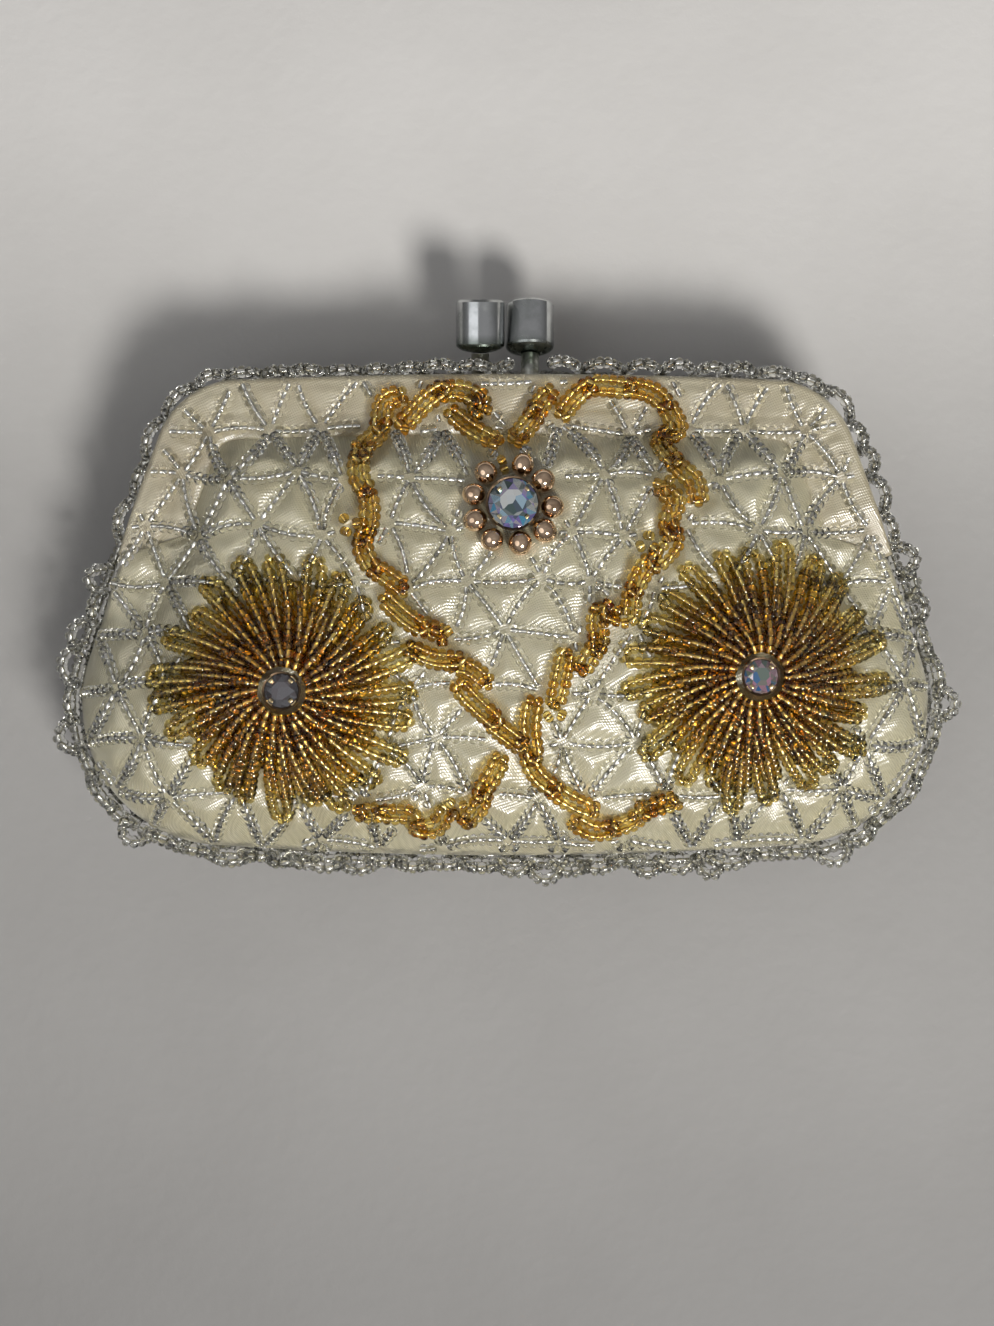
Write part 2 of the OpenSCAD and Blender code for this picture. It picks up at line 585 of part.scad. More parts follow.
// The runs of a route that lie between two heights
function inside(p, y0, y1) = p.y >= y0 && p.y <= y1;
function runs(r, y0, y1) =
    let (starts = [for (i = [0 : len(r) - 2]) if (inside(r[i], y0, y1) && inside(r[i + 1], y0, y1)
            && (i == 0 || !inside(r[max(0, i - 1)], y0, y1))) i])
    [for (s = starts)
        let (ends = [for (i = [s + 1 : len(r) - 1])
            if (i == len(r) - 1 || !inside(r[i + 1], y0, y1)) i])
        [for (i = [s : min(ends)]) lay(r[i], front_face, scroll_rise(r[i]))]];
module gold_scroll(y0, y1)
    for (r = scrolls, run = runs(r, y0, y1)) tube(run, string_d);

// Strings along the edge, outside the satin. They leave out the places of the stems
edge_share = 0.15;
function by_stem(a, b, stems) =
    len([for (x = stems) if (abs((a.x + b.x) / 2 - x) < norm(b - a) / 2) x]) > 0;
module edge_string(points, z, stems = [])
    for (i = [0 : len(points) - 2])
        let (a = points[i], b = points[i + 1])
        if (norm(b - a) > bead_d && !by_stem(a, b, stems)) {
            p = mix(a, b, edge_share);
            q = mix(b, a, edge_share);
            string_rod([p.x, p.y, z], [q.x, q.y, z]);
        }
edge_out = -(bead_d / 2 + bead_gap + cover_gap);
edge_z = frame_depth / 2;

// Height of the satin under a round foot
function seat_z(place, r) = bead_gap + max([for (a = [0 : 45 : 315]) front_z(place + r * [cos(a), sin(a)])]);

// A flower: long loops of beads under short ones, round a stepped root
loop_turn = 12;
long_root = 7.8;
short_root = 5.4;
root_step = bead_d + cover_gap;
root_rise = 1.2;
leg_gap = 0.05;
module flower(place) {
    for (k = [0 : long_loops - 1])
        loop(place, k * 360 / long_loops, long_root + cover_gap, flower_r, 0);
    for (k = [0 : short_loops - 1])
        loop(place, (k + 0.5) * 360 / short_loops, short_root + cover_gap, short_r, root_step);
    translate([place.x, place.y, seat_z(place, long_root)]) {
        cylinder(h = root_step, r = long_root, $fn = round_fn);
        cylinder(h = root_step + root_rise, r = short_root, $fn = round_fn);
    }
}
function loop_at(place, angle, root, reach, lift, t, side) =
    let (r = mix(root + string_d / 2, reach - string_d / 2, t),
        a = angle + loop_turn * t,
        half = mix(string_d / 2 + leg_gap, loop_spread, sin(90 * t)),
        p = place + r * [cos(a), sin(a)] + side * half * [-sin(a), cos(a)])
    lay(p, front_face, lift);
module loop(place, angle, root, reach, lift)
    tube(concat(
        [for (t = [0, 0.45, 0.9]) loop_at(place, angle, root, reach, lift, t, 1)],
        [loop_at(place, angle, root, reach, lift, 1, 0.3)],
        [loop_at(place, angle, root, reach, lift, 1, -0.3)],
        [for (t = [0.9, 0.45, 0]) loop_at(place, angle, root, reach, lift, t, -1)]),
        string_d);

// A cup with four claws, open at the top for its stone
stone_fit = 0.05;
claw_w = 1;
claw_t = 0.35;
claw_over = 0.55;
claw_rise = 0.75;
module claw_cup(d, h) {
    difference() {
        cylinder(h = h, r = d / 2 + cup_t, $fn = round_fn);
        translate([0, 0, cup_t]) cylinder(h = h, r = d / 2 + stone_fit, $fn = round_fn);
    }
    for (k = [0 : 3]) rotate(45 + 90 * k) {
        translate([d / 2 + stone_fit, -claw_w / 2, 0]) difference() {
            cube([cup_t + claw_t, claw_w, h + claw_rise]);
            translate([-eps, -eps, -eps]) cube([eps * 2, claw_w + 2 * eps, h]);
        }
        translate([d / 2 - claw_over, -claw_w / 2, h + claw_rise - claw_t])
            cube([claw_over + stone_fit + cup_t, claw_w, claw_t]);
    }
}

// A cut stone: table, crown, girdle and pointed back
girdle = 0.3;
table_share = 0.5;
culet_share = 0.3;
facets = 16;
module cut_stone(d, h) {
    seat = cup_t + cover_gap;
    crown = claw_rise - claw_t - cover_gap + 0.5;
    translate([0, 0, h - girdle]) cylinder(h = girdle, d = d, $fn = facets);
    translate([0, 0, h])
        cylinder(h = crown, d1 = d - 2 * claw_over - 2 * cup_t, d2 = d * table_share, $fn = facets);
    translate([0, 0, seat])
        cylinder(h = h - girdle - seat, d1 = d * culet_share, d2 = d, $fn = facets);
}

module on_flower(place)
    translate([place.x, place.y, seat_z(place, long_root) + root_step + root_rise + cover_gap])
        children();
module on_jewel() translate([jewel.x, jewel.y, seat_z(jewel, stone_d / 2 + cup_t)]) children();

module back_frame() color("silver") back_half() frame_half(back_ear_x, -knob_x);
module back_frame_cover() color("bisque") back_half() frame_satin(-knob_x);
module back_panel() color("linen") back_half() difference() {
    back_cloth(0, panel_t);
    hinge_room(ear_r + cloth_gap);
    stem_room(-1);
}
module back_lining() color("ivory") back_half() difference() {
    back_cloth(lining_in, lining_t, $corner_steps = lining_corner_steps,
        $edge_steps = lining_edge_steps);
    hinge_room(ear_r + cloth_gap);
}
module hinge_rivets() color("silver")
    for (side = [0, 1]) mirror([side, 0, 0]) translate([0, hinge_y, parting_z]) rotate([0, 90, 0]) {
        translate([0, 0, back_ear_x - rivet_head_t - rivet_fit])
            cylinder(h = front_ear_x + frame_t - back_ear_x + 2 * (rivet_head_t + rivet_fit),
                r = rivet_r, $fn = round_fn);
        for (x = [back_ear_x - rivet_head_t - rivet_fit, front_ear_x + frame_t + rivet_fit])
            translate([0, 0, x]) cylinder(h = rivet_head_t, r = rivet_head_r, $fn = round_fn);
    }
module back_knob() color("gainsboro") back_half() knob_body(-1);
module back_knob_stem() color("gray") back_half() knob_stem(-1);
module back_edge_beads() color("lightgray") back_half()
    edge_string(upper_rim(arm_y, edge_out), edge_z, [-knob_x]);

// The net that the purse lies on: one flat piece with three sided gaps
hole_r = (net_row - bead_d) / 1.5;
function row_end(j) = (rest_half - (j % 2 == 0 ? 0 : 0.5)) * net_pitch;
function in_row(p, j) = abs(p.x + net_pitch / 2) < row_end(j);
function hole(c, turn) =
    [for (k = [0 : 2]) c + hole_r * [cos(90 + turn + 120 * k), sin(90 + turn + 120 * k)]];
rest_right = [for (j = [rest_low : rest_high]) [row_end(j) + bead_d / 2, j * net_row]];
rest_border = concat([rest_right[0] - [0, bead_d / 2]], rest_right,
    [rest_right[len(rest_right) - 1] + [0, bead_d / 2]]);
module back_net_centre() color("lightgray") linear_extrude(rest_net_t) difference() {
    polygon(concat(rest_border, flip(rest_border)));
    for (j = [rest_low : rest_high - 1], i = [-rest_half - 1 : rest_half]) {
        low = star(i, j);
        up = low + [net_pitch / 2, net_row / 3];
        high = star(i, j + 1);
        down = high + [net_pitch / 2, -net_row / 3];
        if (in_row(low, j)) polygon(hole(up, 0));
        if (in_row(high, j + 1)) polygon(hole(down, 180));
    }
}
function off_rest(p) = abs(p.x) > rest_half * net_pitch + bead_d
    || p.y > rest_high * net_row + bead_d || p.y < rest_low * net_row - bead_d;
rest_lift = -0.12;
module back_net_edge() color("lightgray") back_half()
    for (s = net_strings()) if (on_net(s) && off_rest(mix(s[0], s[1], 0.25))
        && off_rest(mix(s[0], s[1], 0.75))) net_string(s, back_face, rest_lift);
module seam_beads() color("lightgray") translate([0, 0, parting_z])
    edge_string(lower_rim(panel_y, edge_out), 0);

// The bay in the front panel that the jewel dips into as the purse opens
bay_drop = 4;
bay_round = 2;
bay_w = 2 * (jewel_r + bay_round);
module jewel_bay(slack) translate([jewel.x, panel_y, 0]) linear_extrude(front_depth * 2) {
    for (side = [-1, 1]) translate([side * (bay_w / 2 - bay_round), bay_round - bay_drop])
        circle(r = bay_round - slack, $fn = round_fn);
    translate([bay_round - bay_w / 2, slack - bay_drop])
        square([bay_w - 2 * bay_round, bay_drop + cloth_gap]);
    translate([slack - bay_w / 2, bay_round - bay_drop])
        square([bay_w - 2 * slack, bay_drop - bay_round + cloth_gap]);
}
module front_panel() color("linen") front_half() difference() {
    panel_cloth(0, panel_t);
    jewel_bay(0);
}
module front_lining() color("ivory") front_half() difference() {
    panel_cloth(lining_in, lining_t, $corner_steps = lining_corner_steps,
        $edge_steps = lining_edge_steps);
    jewel_bay(-lining_gap);
}
module front_fold() color("linen") front_half() {
    fold_cloth(0, panel_t);
    intersection() {
        panel_cloth(0, panel_t);
        jewel_bay(cloth_gap);
    }
}
module front_fold_net() color("gainsboro") front_half() front_net(fold_strings, fold_lift);
module front_fold_scroll() color("goldenrod") front_half() gold_scroll(lower_to, upper_from);
module front_net_lower() color("gainsboro") front_half()
    front_net([for (s = clear_strings) if (max(s[0].y, s[1].y) <= lower_to) s]);
module front_scroll_lower() color("goldenrod") front_half() gold_scroll(-far, lower_to - bead_d);
module left_flower_loops() color("darkgoldenrod") front_half() flower(left_flower);
module right_flower_loops() color("darkgoldenrod") front_half() flower(right_flower);
module left_flower_cup() color("dimgray") front_half()
    on_flower(left_flower) claw_cup(flower_stone_d, flower_cup_h);
module right_flower_cup() color("dimgray") front_half()
    on_flower(right_flower) claw_cup(flower_stone_d, flower_cup_h);
module left_flower_stone() color("slategray") front_half()
    on_flower(left_flower) cut_stone(flower_stone_d, flower_cup_h);
module right_flower_stone() color("lightblue") front_half()
    on_flower(right_flower) cut_stone(flower_stone_d, flower_cup_h);
module front_frame() color("silver") front_half() frame_half(front_ear_x, knob_x);
module front_frame_cover() color("bisque") front_half() frame_satin(knob_x);
module front_yoke() color("linen") front_half() difference() {
    yoke_cloth(0, panel_t);
    hinge_room(ear_r + cloth_gap);
    stem_room(1);
}
module yoke_lining() color("ivory") front_half() difference() {
    yoke_cloth(lining_in, lining_t, $corner_steps = lining_corner_steps,
        $edge_steps = lining_edge_steps);
    hinge_room(ear_r + cloth_gap);
}
module front_knob() color("gainsboro") front_half() knob_body(1);
module front_knob_stem() color("gray") front_half() knob_stem(1);
module front_edge_beads() color("lightgray") front_half()
    edge_string(upper_rim(arm_y, edge_out), edge_z, [knob_x]);
module front_net_upper() color("gainsboro") front_half()
    front_net([for (s = clear_strings) if (min(s[0].y, s[1].y) >= upper_from) s]);
module front_scroll_upper() color("goldenrod") front_half() gold_scroll(upper_from + bead_d, far);
module centre_cup() color("dimgray") front_half() on_jewel() claw_cup(stone_d, cup_h);
module centre_stone() color("lightcyan") front_half() on_jewel() cut_stone(stone_d, cup_h);
ring_turn = 72;
module centre_bead_ring() color("rosybrown") front_half()
    for (k = [0 : ring_beads - 1])
        let (a = k * 360 / ring_beads + ring_turn,
            p = jewel + (jewel_r - ring_bead_d / 2) * [cos(a), sin(a)])
        translate([p.x, p.y, seat_z(p, ring_bead_d / 4) + ring_bead_d / 2])
            sphere(d = ring_bead_d, $fn = round_fn);

back_frame();
back_frame_cover();
back_panel();
back_lining();
hinge_rivets();
back_knob();
back_knob_stem();
back_edge_beads();
back_net_centre();
back_net_edge();
seam_beads();
front_panel();
front_lining();
front_fold();
front_fold_net();
front_fold_scroll();
front_net_lower();
front_scroll_lower();
left_flower_loops();
left_flower_cup();
left_flower_stone();
right_flower_loops();
right_flower_cup();
right_flower_stone();
front_frame();
front_frame_cover();
front_yoke();
yoke_lining();
front_knob();
front_knob_stem();
front_edge_beads();
front_net_upper();
front_scroll_upper();
centre_cup();
centre_stone();
centre_bead_ring();
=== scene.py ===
# %% [markdown]
# A beaded kiss lock purse.
# The purse is soft satin over padding, held by a hinged metal frame and covered in glass
# beads. The metal comes from the CAD model. This lesson dresses it: satin, lining, more
# than seven thousand seed beads, two bead flowers, cut stones and the light.

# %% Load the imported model
import math
import random

import bmesh
import bpy
import numpy as np
from mathutils import Matrix, Vector


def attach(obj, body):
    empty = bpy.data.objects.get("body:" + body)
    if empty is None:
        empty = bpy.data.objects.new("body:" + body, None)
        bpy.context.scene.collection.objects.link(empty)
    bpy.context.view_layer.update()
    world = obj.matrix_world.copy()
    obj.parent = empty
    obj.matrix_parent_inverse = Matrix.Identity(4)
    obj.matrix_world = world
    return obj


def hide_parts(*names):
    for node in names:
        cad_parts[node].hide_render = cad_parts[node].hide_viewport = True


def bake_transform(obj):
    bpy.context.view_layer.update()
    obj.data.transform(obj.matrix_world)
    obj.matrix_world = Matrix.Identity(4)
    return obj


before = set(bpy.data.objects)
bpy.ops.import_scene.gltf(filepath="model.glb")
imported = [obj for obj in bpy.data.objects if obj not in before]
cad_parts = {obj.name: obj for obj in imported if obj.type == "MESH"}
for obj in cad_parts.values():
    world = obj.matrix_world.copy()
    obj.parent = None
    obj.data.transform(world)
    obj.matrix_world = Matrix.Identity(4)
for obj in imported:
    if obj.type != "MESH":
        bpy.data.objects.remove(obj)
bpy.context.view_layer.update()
MM = 0.001
chance = random.Random(11)
rng = np.random.default_rng(11)

# %% [markdown]
# Everything soft follows one outline, so the outline comes first, in millimetres.
# It has two large round corners at the bottom, two smaller ones at the top, straight
# sides that lean in and slightly bowed edges. A point's distance in from that outline
# gives the height of the padding over it, so satin and beads share one surface.

# %% The outline of the purse and its height
top_corner, top_round, top_bow = np.array([39.0, 17.5]), 12.3, 0.8
low_corner, low_round, low_bow = np.array([42.0, -17.5]), 21.3, 1.5
parting = 14.0
front_depth, back_depth, back_flat = 14.0, 13.2, 11.9
dome_run, crown, steepness = 33.0, 2.2, 0.6
band, band_top, lip_swell, lip_run, wall_run = 8.0, 6.6, 0.5, 4.0, 5.0
hinge_y, fold_y = 0.5, -8.5
lean = top_corner - low_corner
side_turn = math.atan2(lean[1], lean[0]) - math.acos((low_round - top_round) / np.hypot(*lean))
side_out = np.array([math.cos(side_turn), math.sin(side_turn)])
side_reach = side_out @ low_corner + low_round


def ease(t):
    t = np.clip(t, 0, 1)
    return t * t * (3 - 2 * t)


def edge_gap(x, y):
    """Distance in from the outline."""
    x, y = np.abs(x), np.asarray(y, float)
    tx, ty = x - top_corner[0], y - top_corner[1]
    lx, ly = x - low_corner[0], y - low_corner[1]
    top_edge = top_corner[1] + top_round + top_bow * np.maximum(0, 1 - (x / top_corner[0]) ** 2)
    low_edge = low_corner[1] - low_round - low_bow * np.maximum(0, 1 - (x / low_corner[0]) ** 2)
    side = side_reach - side_out[0] * x - side_out[1] * y
    gap = np.minimum(np.minimum(top_edge - y, side), y - low_edge)
    in_top = (tx > 0) & (np.arctan2(ty, tx) > side_turn)
    in_low = (lx > 0) & (np.arctan2(ly, lx) < side_turn)
    gap = np.where(in_low, low_round - np.hypot(lx, ly), gap)
    return np.where(in_top, top_round - np.hypot(tx, ty), gap)


def pillow(t):
    return (1 - (1 - np.clip(t, 0, 1)) ** crown) ** steepness


def held(y):
    """How far the frame holds the cloth: 0 below the fold and 1 above the hinge."""
    return ease((y - fold_y) / (hinge_y - fold_y))


def lip(inset):
    return lip_swell * ease((inset - lip_run) / lip_run)


def padding(x, y, depth):
    gap = edge_gap(x, y)
    free = depth * pillow(gap / dome_run)
    swell = band_top + lip(gap)
    rise = (depth - swell) * pillow((gap - band) / (dome_run - band))
    tight = swell + np.where(gap < band, 0, rise * np.sqrt(ease((gap - band) / wall_run)))
    w = held(np.asarray(y, float))
    return free * (1 - w) + tight * w


def front_height(x, y):
    return padding(x, y, front_depth)


def back_height(x, y):
    return np.minimum(back_flat, padding(x, y, back_depth))


print("height at the middle:", round(float(front_height(0, -8)), 2), "mm")

# %% [markdown]
# The rim path walks along the outline and keeps the direction that points outwards.
# The frame's satin, the edge beads and the seam all follow it.

# %% Walk along the rim
top_end = (top_corner, top_round, top_bow, 1)
low_end = (low_corner, low_round, low_bow, -1)


def rim_path(end, y_from, step):
    """Along one side from y_from, round a corner to the middle, and mirrored back."""
    corner, radius, bow, up = end
    count = max(3, int(abs(up * math.pi / 2 - side_turn) * radius / step))
    turn = np.linspace(side_turn, up * math.pi / 2, count)
    corner_out = np.c_[np.cos(turn), np.sin(turn)]
    bend = corner + radius * corner_out
    ys = np.arange(y_from, bend[0][1], up * step)
    side = np.c_[(side_reach - side_out[1] * ys) / side_out[0], ys]
    xs = np.arange(corner[0] - step, 0, -step)
    level = np.c_[xs, corner[1] + up * radius + up * bow * (1 - (xs / corner[0]) ** 2)]
    half = np.r_[side, bend, level]
    outs = np.r_[np.tile(side_out, (len(side), 1)), corner_out,
                 np.tile([0, float(up)], (len(level), 1))]
    mirror = np.array([-1, 1])
    return np.r_[half, half[::-1] * mirror], np.r_[outs, outs[::-1] * mirror]


print("rim points:", len(rim_path(top_end, 4.5, 1.0)[0]), len(rim_path(low_end, -8, 1.0)[0]))

# %% [markdown]
# The camera looks straight down on the purse, as the photograph does, and the purse lies
# on a plain pale table. A small soft light, like a window, comes from the lower right of
# the picture, and a wide weak one from the left. The room is bright above and dark near
# the horizon, which gives metal and glass their contrast and fills the shadows weakly.

# %% Camera, table and light
scene = bpy.context.scene
scene.view_settings.view_transform = "Standard"
lens = bpy.data.cameras.new("camera")
lens.sensor_fit = "VERTICAL"
lens.angle = math.radians(35.1)
lens.clip_start = 0.01
camera = bpy.data.objects.new("camera", lens)
camera.location = Vector((-1.2, -11.5, 328)) * MM
scene.collection.objects.link(camera)
scene.camera = camera


def soft_light(name, place, size, power, tint):
    lamp = bpy.data.lights.new(name, "AREA")
    lamp.shape = "DISK"
    lamp.size = size
    lamp.energy = power
    lamp.color = tint
    holder = bpy.data.objects.new(name, lamp)
    holder.location = place
    holder.rotation_euler = (-Vector(place)).to_track_quat("-Z", "Y").to_euler()
    scene.collection.objects.link(holder)


def link(tree, *joins):
    """Joins sockets. Each join is a source node, its output, a target node and its input."""
    for source, output, target, socket in joins:
        tree.links.new(source.outputs[output], target.inputs[socket])


soft_light("window", (0.27, -0.42, 0.66), 0.22, 7.2, (1, 0.985, 0.96))
soft_light("room", (-0.5, -0.1, 0.8), 0.8, 1.3, (0.95, 0.97, 1))
world = bpy.data.worlds.new("room_fill")
scene.world = world
world.use_nodes = True
room = world.node_tree
around = room.nodes.new("ShaderNodeTexCoord")
upward = room.nodes.new("ShaderNodeSeparateXYZ")
walls = room.nodes.new("ShaderNodeValToRGB")
horizon, overhead = walls.color_ramp.elements
horizon.position, horizon.color = 0.1, (0.42, 0.42, 0.42, 1)
overhead.position, overhead.color = 0.75, (0.95, 0.95, 0.97, 1)
link(room, (around, "Generated", upward, 0), (upward, "Z", walls, 0),
     (walls, 0, room.nodes["Background"], "Color"))
room.nodes["Background"].inputs["Strength"].default_value = 0.3

# %% [markdown]
# Small helpers for materials. A finish is a Principled shader in its own material, and
# the effects that several finishes share, such as weave and age, are node groups.

# %% Helpers for materials
MIX_A, MIX_B, MIX_OUT = 6, 7, 2


def shader_of(material):
    return material.node_tree.nodes["Principled BSDF"]


def finish(name, colour, roughness=0.5, **sockets):
    made = bpy.data.materials.new(name)
    made.use_nodes = True
    shader = shader_of(made)
    shader.inputs["Base Color"].default_value = (*colour, 1)
    shader.inputs["Roughness"].default_value = roughness
    for socket, value in sockets.items():
        shader.inputs[socket.replace("_", " ")].default_value = value
    made.diffuse_color = (*colour, 1)
    return made


def add_node(tree, kind, **settings):
    node = tree.nodes.new("ShaderNode" + kind)
    for key, value in settings.items():
        if key in node.bl_rna.properties:
            setattr(node, key, value)
        else:
            node.inputs[key.replace("_", " ")].default_value = value
    return node


def add_range(tree, from_low, from_high, to_low=0, to_high=1):
    return add_node(tree, "MapRange", From_Min=from_low, From_Max=from_high, To_Min=to_low,
                    To_Max=to_high)


def new_group(name, inputs, outputs):
    tree = bpy.data.node_groups.new(name, "ShaderNodeTree")
    for label, kind, value in inputs:
        socket = tree.interface.new_socket(label, in_out="INPUT", socket_type="NodeSocket" + kind)
        if value is not None:
            socket.default_value = value
    for label, kind in outputs:
        tree.interface.new_socket(label, in_out="OUTPUT", socket_type="NodeSocket" + kind)
    return tree, tree.nodes.new("NodeGroupInput"), tree.nodes.new("NodeGroupOutput")


def use_group(material, group, **values):
    tree = material.node_tree
    node = add_node(tree, "Group")
    node.node_tree = group
    for key, value in values.items():
        node.inputs[key].default_value = value
    link(tree, (add_node(tree, "TexCoord"), "Object", node, "Place"))
    return node


# %% [markdown]
# Satin shows two things close up: a fine diagonal grid of threads, and a soft cloudy
# change of tone where the cloth has aged. Each is a group with its own size and strength.

# %% Groups for weave and for age
weave, given, result = new_group(
    "satin_weave", [("Place", "Vector", None), ("Threads", "Float", 2.4), ("Slub", "Float", 0.3)],
    [("Height", "Float"), ("Shade", "Float")])
turned = add_node(weave, "VectorRotate", rotation_type="EULER_XYZ", Rotation=(0.55, 0.45, 0.47))
split = add_node(weave, "SeparateXYZ")
per_metre = add_node(weave, "Math", operation="MULTIPLY")
per_metre.inputs[1].default_value = 2 * math.pi * 1000
link(weave, (given, "Place", turned, "Vector"), (turned, 0, split, 0),
     (given, "Threads", per_metre, 0))
cross = add_node(weave, "Math", operation="MULTIPLY")
for number, axis in enumerate("XY"):
    phase = add_node(weave, "Math", operation="MULTIPLY")
    wave = add_node(weave, "Math", operation="SINE")
    link(weave, (split, axis, phase, 0), (per_metre, 0, phase, 1), (phase, 0, wave, 0),
         (wave, 0, cross, number))
slub = add_node(weave, "TexNoise", Scale=900.0, Detail=1.0)
slub_part = add_node(weave, "Math", operation="MULTIPLY_ADD")
shade = add_range(weave, -1, 1.3, 0.86, 1.06)
link(weave, (given, "Place", slub, "Vector"), (slub, 0, slub_part, 0),
     (given, "Slub", slub_part, 1), (cross, 0, slub_part, 2), (slub_part, 0, shade, "Value"),
     (slub_part, 0, result, "Height"), (shade, 0, result, "Shade"))

age, given, result = new_group(
    "cloth_age",
    [("Place", "Vector", None), ("Clean", "Color", (1, 1, 1, 1)),
     ("Aged", "Color", (0.8, 0.7, 0.5, 1)), ("Size", "Float", 60.0), ("Amount", "Float", 0.6)],
    [("Colour", "Color"), ("Mask", "Float")])
cloud = add_node(age, "TexNoise", Detail=4.0, Roughness=0.6)
spread = add_range(age, 0.4, 0.68)
amount = add_node(age, "Math", operation="MULTIPLY")
mixed = add_node(age, "Mix", data_type="RGBA")
link(age, (given, "Place", cloud, "Vector"), (given, "Size", cloud, "Scale"),
     (cloud, 0, spread, "Value"), (spread, 0, amount, 0), (given, "Amount", amount, 1),
     (amount, 0, mixed, "Factor"), (given, "Clean", mixed, MIX_A), (given, "Aged", mixed, MIX_B),
     (mixed, MIX_OUT, result, "Colour"), (amount, 0, result, "Mask"))


def aged(made, clean, old, amount, size=60.0):
    """Gives a finish the cloudy change from clean to old, and returns the group's node."""
    tone = use_group(made, age, Clean=(*clean, 1), Aged=(*old, 1), Size=size, Amount=amount)
    link(made.node_tree, (tone, "Colour", shader_of(made), "Base Color"))
    return tone


# %% [markdown]
# Satin is woven so that long threads lie on its face, which gives a broad soft shine.
# A low roughness and a little sheen do this, the weave goes to the bump and the shade, and
# age to the colour. The same recipe makes the frame's satin and the lining.

# %% Cloth finishes


def satin(name, clean, old, roughness, threads, depth, amount):
    made = finish(name, clean, roughness, Sheen_Weight=0.2, Sheen_Roughness=0.4,
                  Specular_IOR_Level=1.0, IOR=1.75)
    tree = made.node_tree
    cloth = use_group(made, weave, Threads=threads)
    tone = aged(made, clean, old, amount)
    colour = add_node(tree, "Mix", data_type="RGBA", blend_type="MULTIPLY", Factor=1)
    bump = add_node(tree, "Bump", Strength=0.35, Distance=depth * MM)
    link(tree, (tone, "Colour", colour, MIX_A), (cloth, "Shade", colour, MIX_B),
         (colour, MIX_OUT, shader_of(made), "Base Color"), (cloth, "Height", bump, "Height"),
         (bump, 0, shader_of(made), "Normal"))
    return made


ivory_satin = satin("ivory_satin", (0.4, 0.37, 0.25), (0.3, 0.26, 0.15), 0.24, 2.2, 0.1, 0.6)
frame_satin = satin("frame_satin", (0.4, 0.355, 0.24), (0.29, 0.235, 0.14), 0.28, 2.2, 0.1, 0.7)
lining_satin = satin("lining_satin", (0.62, 0.57, 0.48), (0.5, 0.43, 0.33), 0.5, 3.2, 0.03, 0.3)

# %% [markdown]
# The padded body. It starts as one flat grid that is wrapped on the outline, so its
# squares stay even, and each point is then lifted to the height of the padding. The
# bead threads hold the satin down, so between them it puffs up. Above the hinge the
# cloth tucks down inside the frame.

# %% Net of stars, which the satin and the beads share
net_pitch, net_row = 8.8, 7.6
drift_x, drift_y = 1.3, 1.1
drift = {}


def star(i, j):
    if (i, j) not in drift:
        pull = random.Random(i * 57 + j * 911)
        drift[i, j] = np.array([pull.uniform(-drift_x, drift_x), pull.uniform(-drift_y, drift_y)])
    shift = 0.5 if j % 2 == 0 else 0
    return np.array([(i + shift) * net_pitch, j * net_row]) + drift[i, j]


def net_strings():
    found = []
    for j in range(-6, 6):
        for i in range(-9, 10):
            step = 1 if j % 2 == 0 else 0
            for end in ((i + 1, j), (i + step, j + 1), (i + step - 1, j + 1)):
                found.append((star(i, j), star(*end)))
    return found


all_strings = net_strings()
string_a, string_b = np.array(all_strings).transpose(1, 0, 2)
string_run = string_b - string_a


def thread_distance(x, y):
    """Distance from each point to the nearest string of the net."""
    best = np.full(np.shape(x), 99.0)
    for a, v, square in zip(string_a, string_run, (string_run ** 2).sum(1)):
        t = np.clip(((x - a[0]) * v[0] + (y - a[1]) * v[1]) / square, 0, 1)
        best = np.minimum(best, np.hypot(x - a[0] - t * v[0], y - a[1] - t * v[1]))
    return best


print("strings in the net:", len(all_strings))

# %% Wrap a grid on the outline
hub = np.array([0.0, -6.0])
farthest, halvings = 95.0, 42
rim_share = 1.5


def reach(angle, inset):
    """Distance from the hub to the outline less inset(y), found by halving."""
    lo, hi = np.zeros_like(angle), np.full_like(angle, farthest)
    for _ in range(halvings):
        mid = (lo + hi) / 2
        x, y = hub[0] + mid * np.cos(angle), hub[1] + mid * np.sin(angle)
        inside = edge_gap(x, y) > inset(y)
        lo, hi = np.where(inside, mid, lo), np.where(inside, hi, mid)
    return lo


def to_mesh(bm, name):
    mesh = bpy.data.meshes.new(name)
    bm.to_mesh(mesh)
    bm.free()
    return mesh


def wrapped_grid(name, inset, height, across, along):
    """A grid bent to the outline less inset(y), and lifted to height(x, y, rim distance)."""
    bm = bmesh.new()
    bmesh.ops.create_grid(bm, x_segments=across, y_segments=along, size=1)
    flat = np.array([v.co[:2] for v in bm.verts])
    disc = flat * np.sqrt(1 - flat[:, ::-1] ** 2 / 2)
    share = np.clip(np.hypot(disc[:, 0], disc[:, 1]), 0, 1)
    angle = np.arctan2(disc[:, 1], disc[:, 0])
    out = reach(angle, inset) * (1 - (1 - share) ** rim_share)
    x, y = hub[0] + out * np.cos(angle), hub[1] + out * np.sin(angle)
    z = height(x, y, np.maximum(0, edge_gap(x, y) - inset(y)))
    for vert, place in zip(bm.verts, np.c_[x, y, z]):
        vert.co = place * MM
    return to_mesh(bm, name)


def piece(name, mesh, *materials, smooth=True):
    for m in materials:
        mesh.materials.append(m)
    mesh.polygons.foreach_set("use_smooth", [smooth] * len(mesh.polygons))
    made = bpy.data.objects.new(name, mesh)
    scene.collection.objects.link(made)
    return made


def padded_piece(name, mesh, material, depth, side):
    """A cloth with a thickness, given by a solidify modifier. The back is turned over."""
    if side < 0:
        mesh.flip_normals()
    made = piece(name, mesh, material)
    shell = made.modifiers.new("thickness", "SOLIDIFY")
    shell.thickness = depth * MM
    shell.offset = -1
    shell.use_even_offset = False
    return made


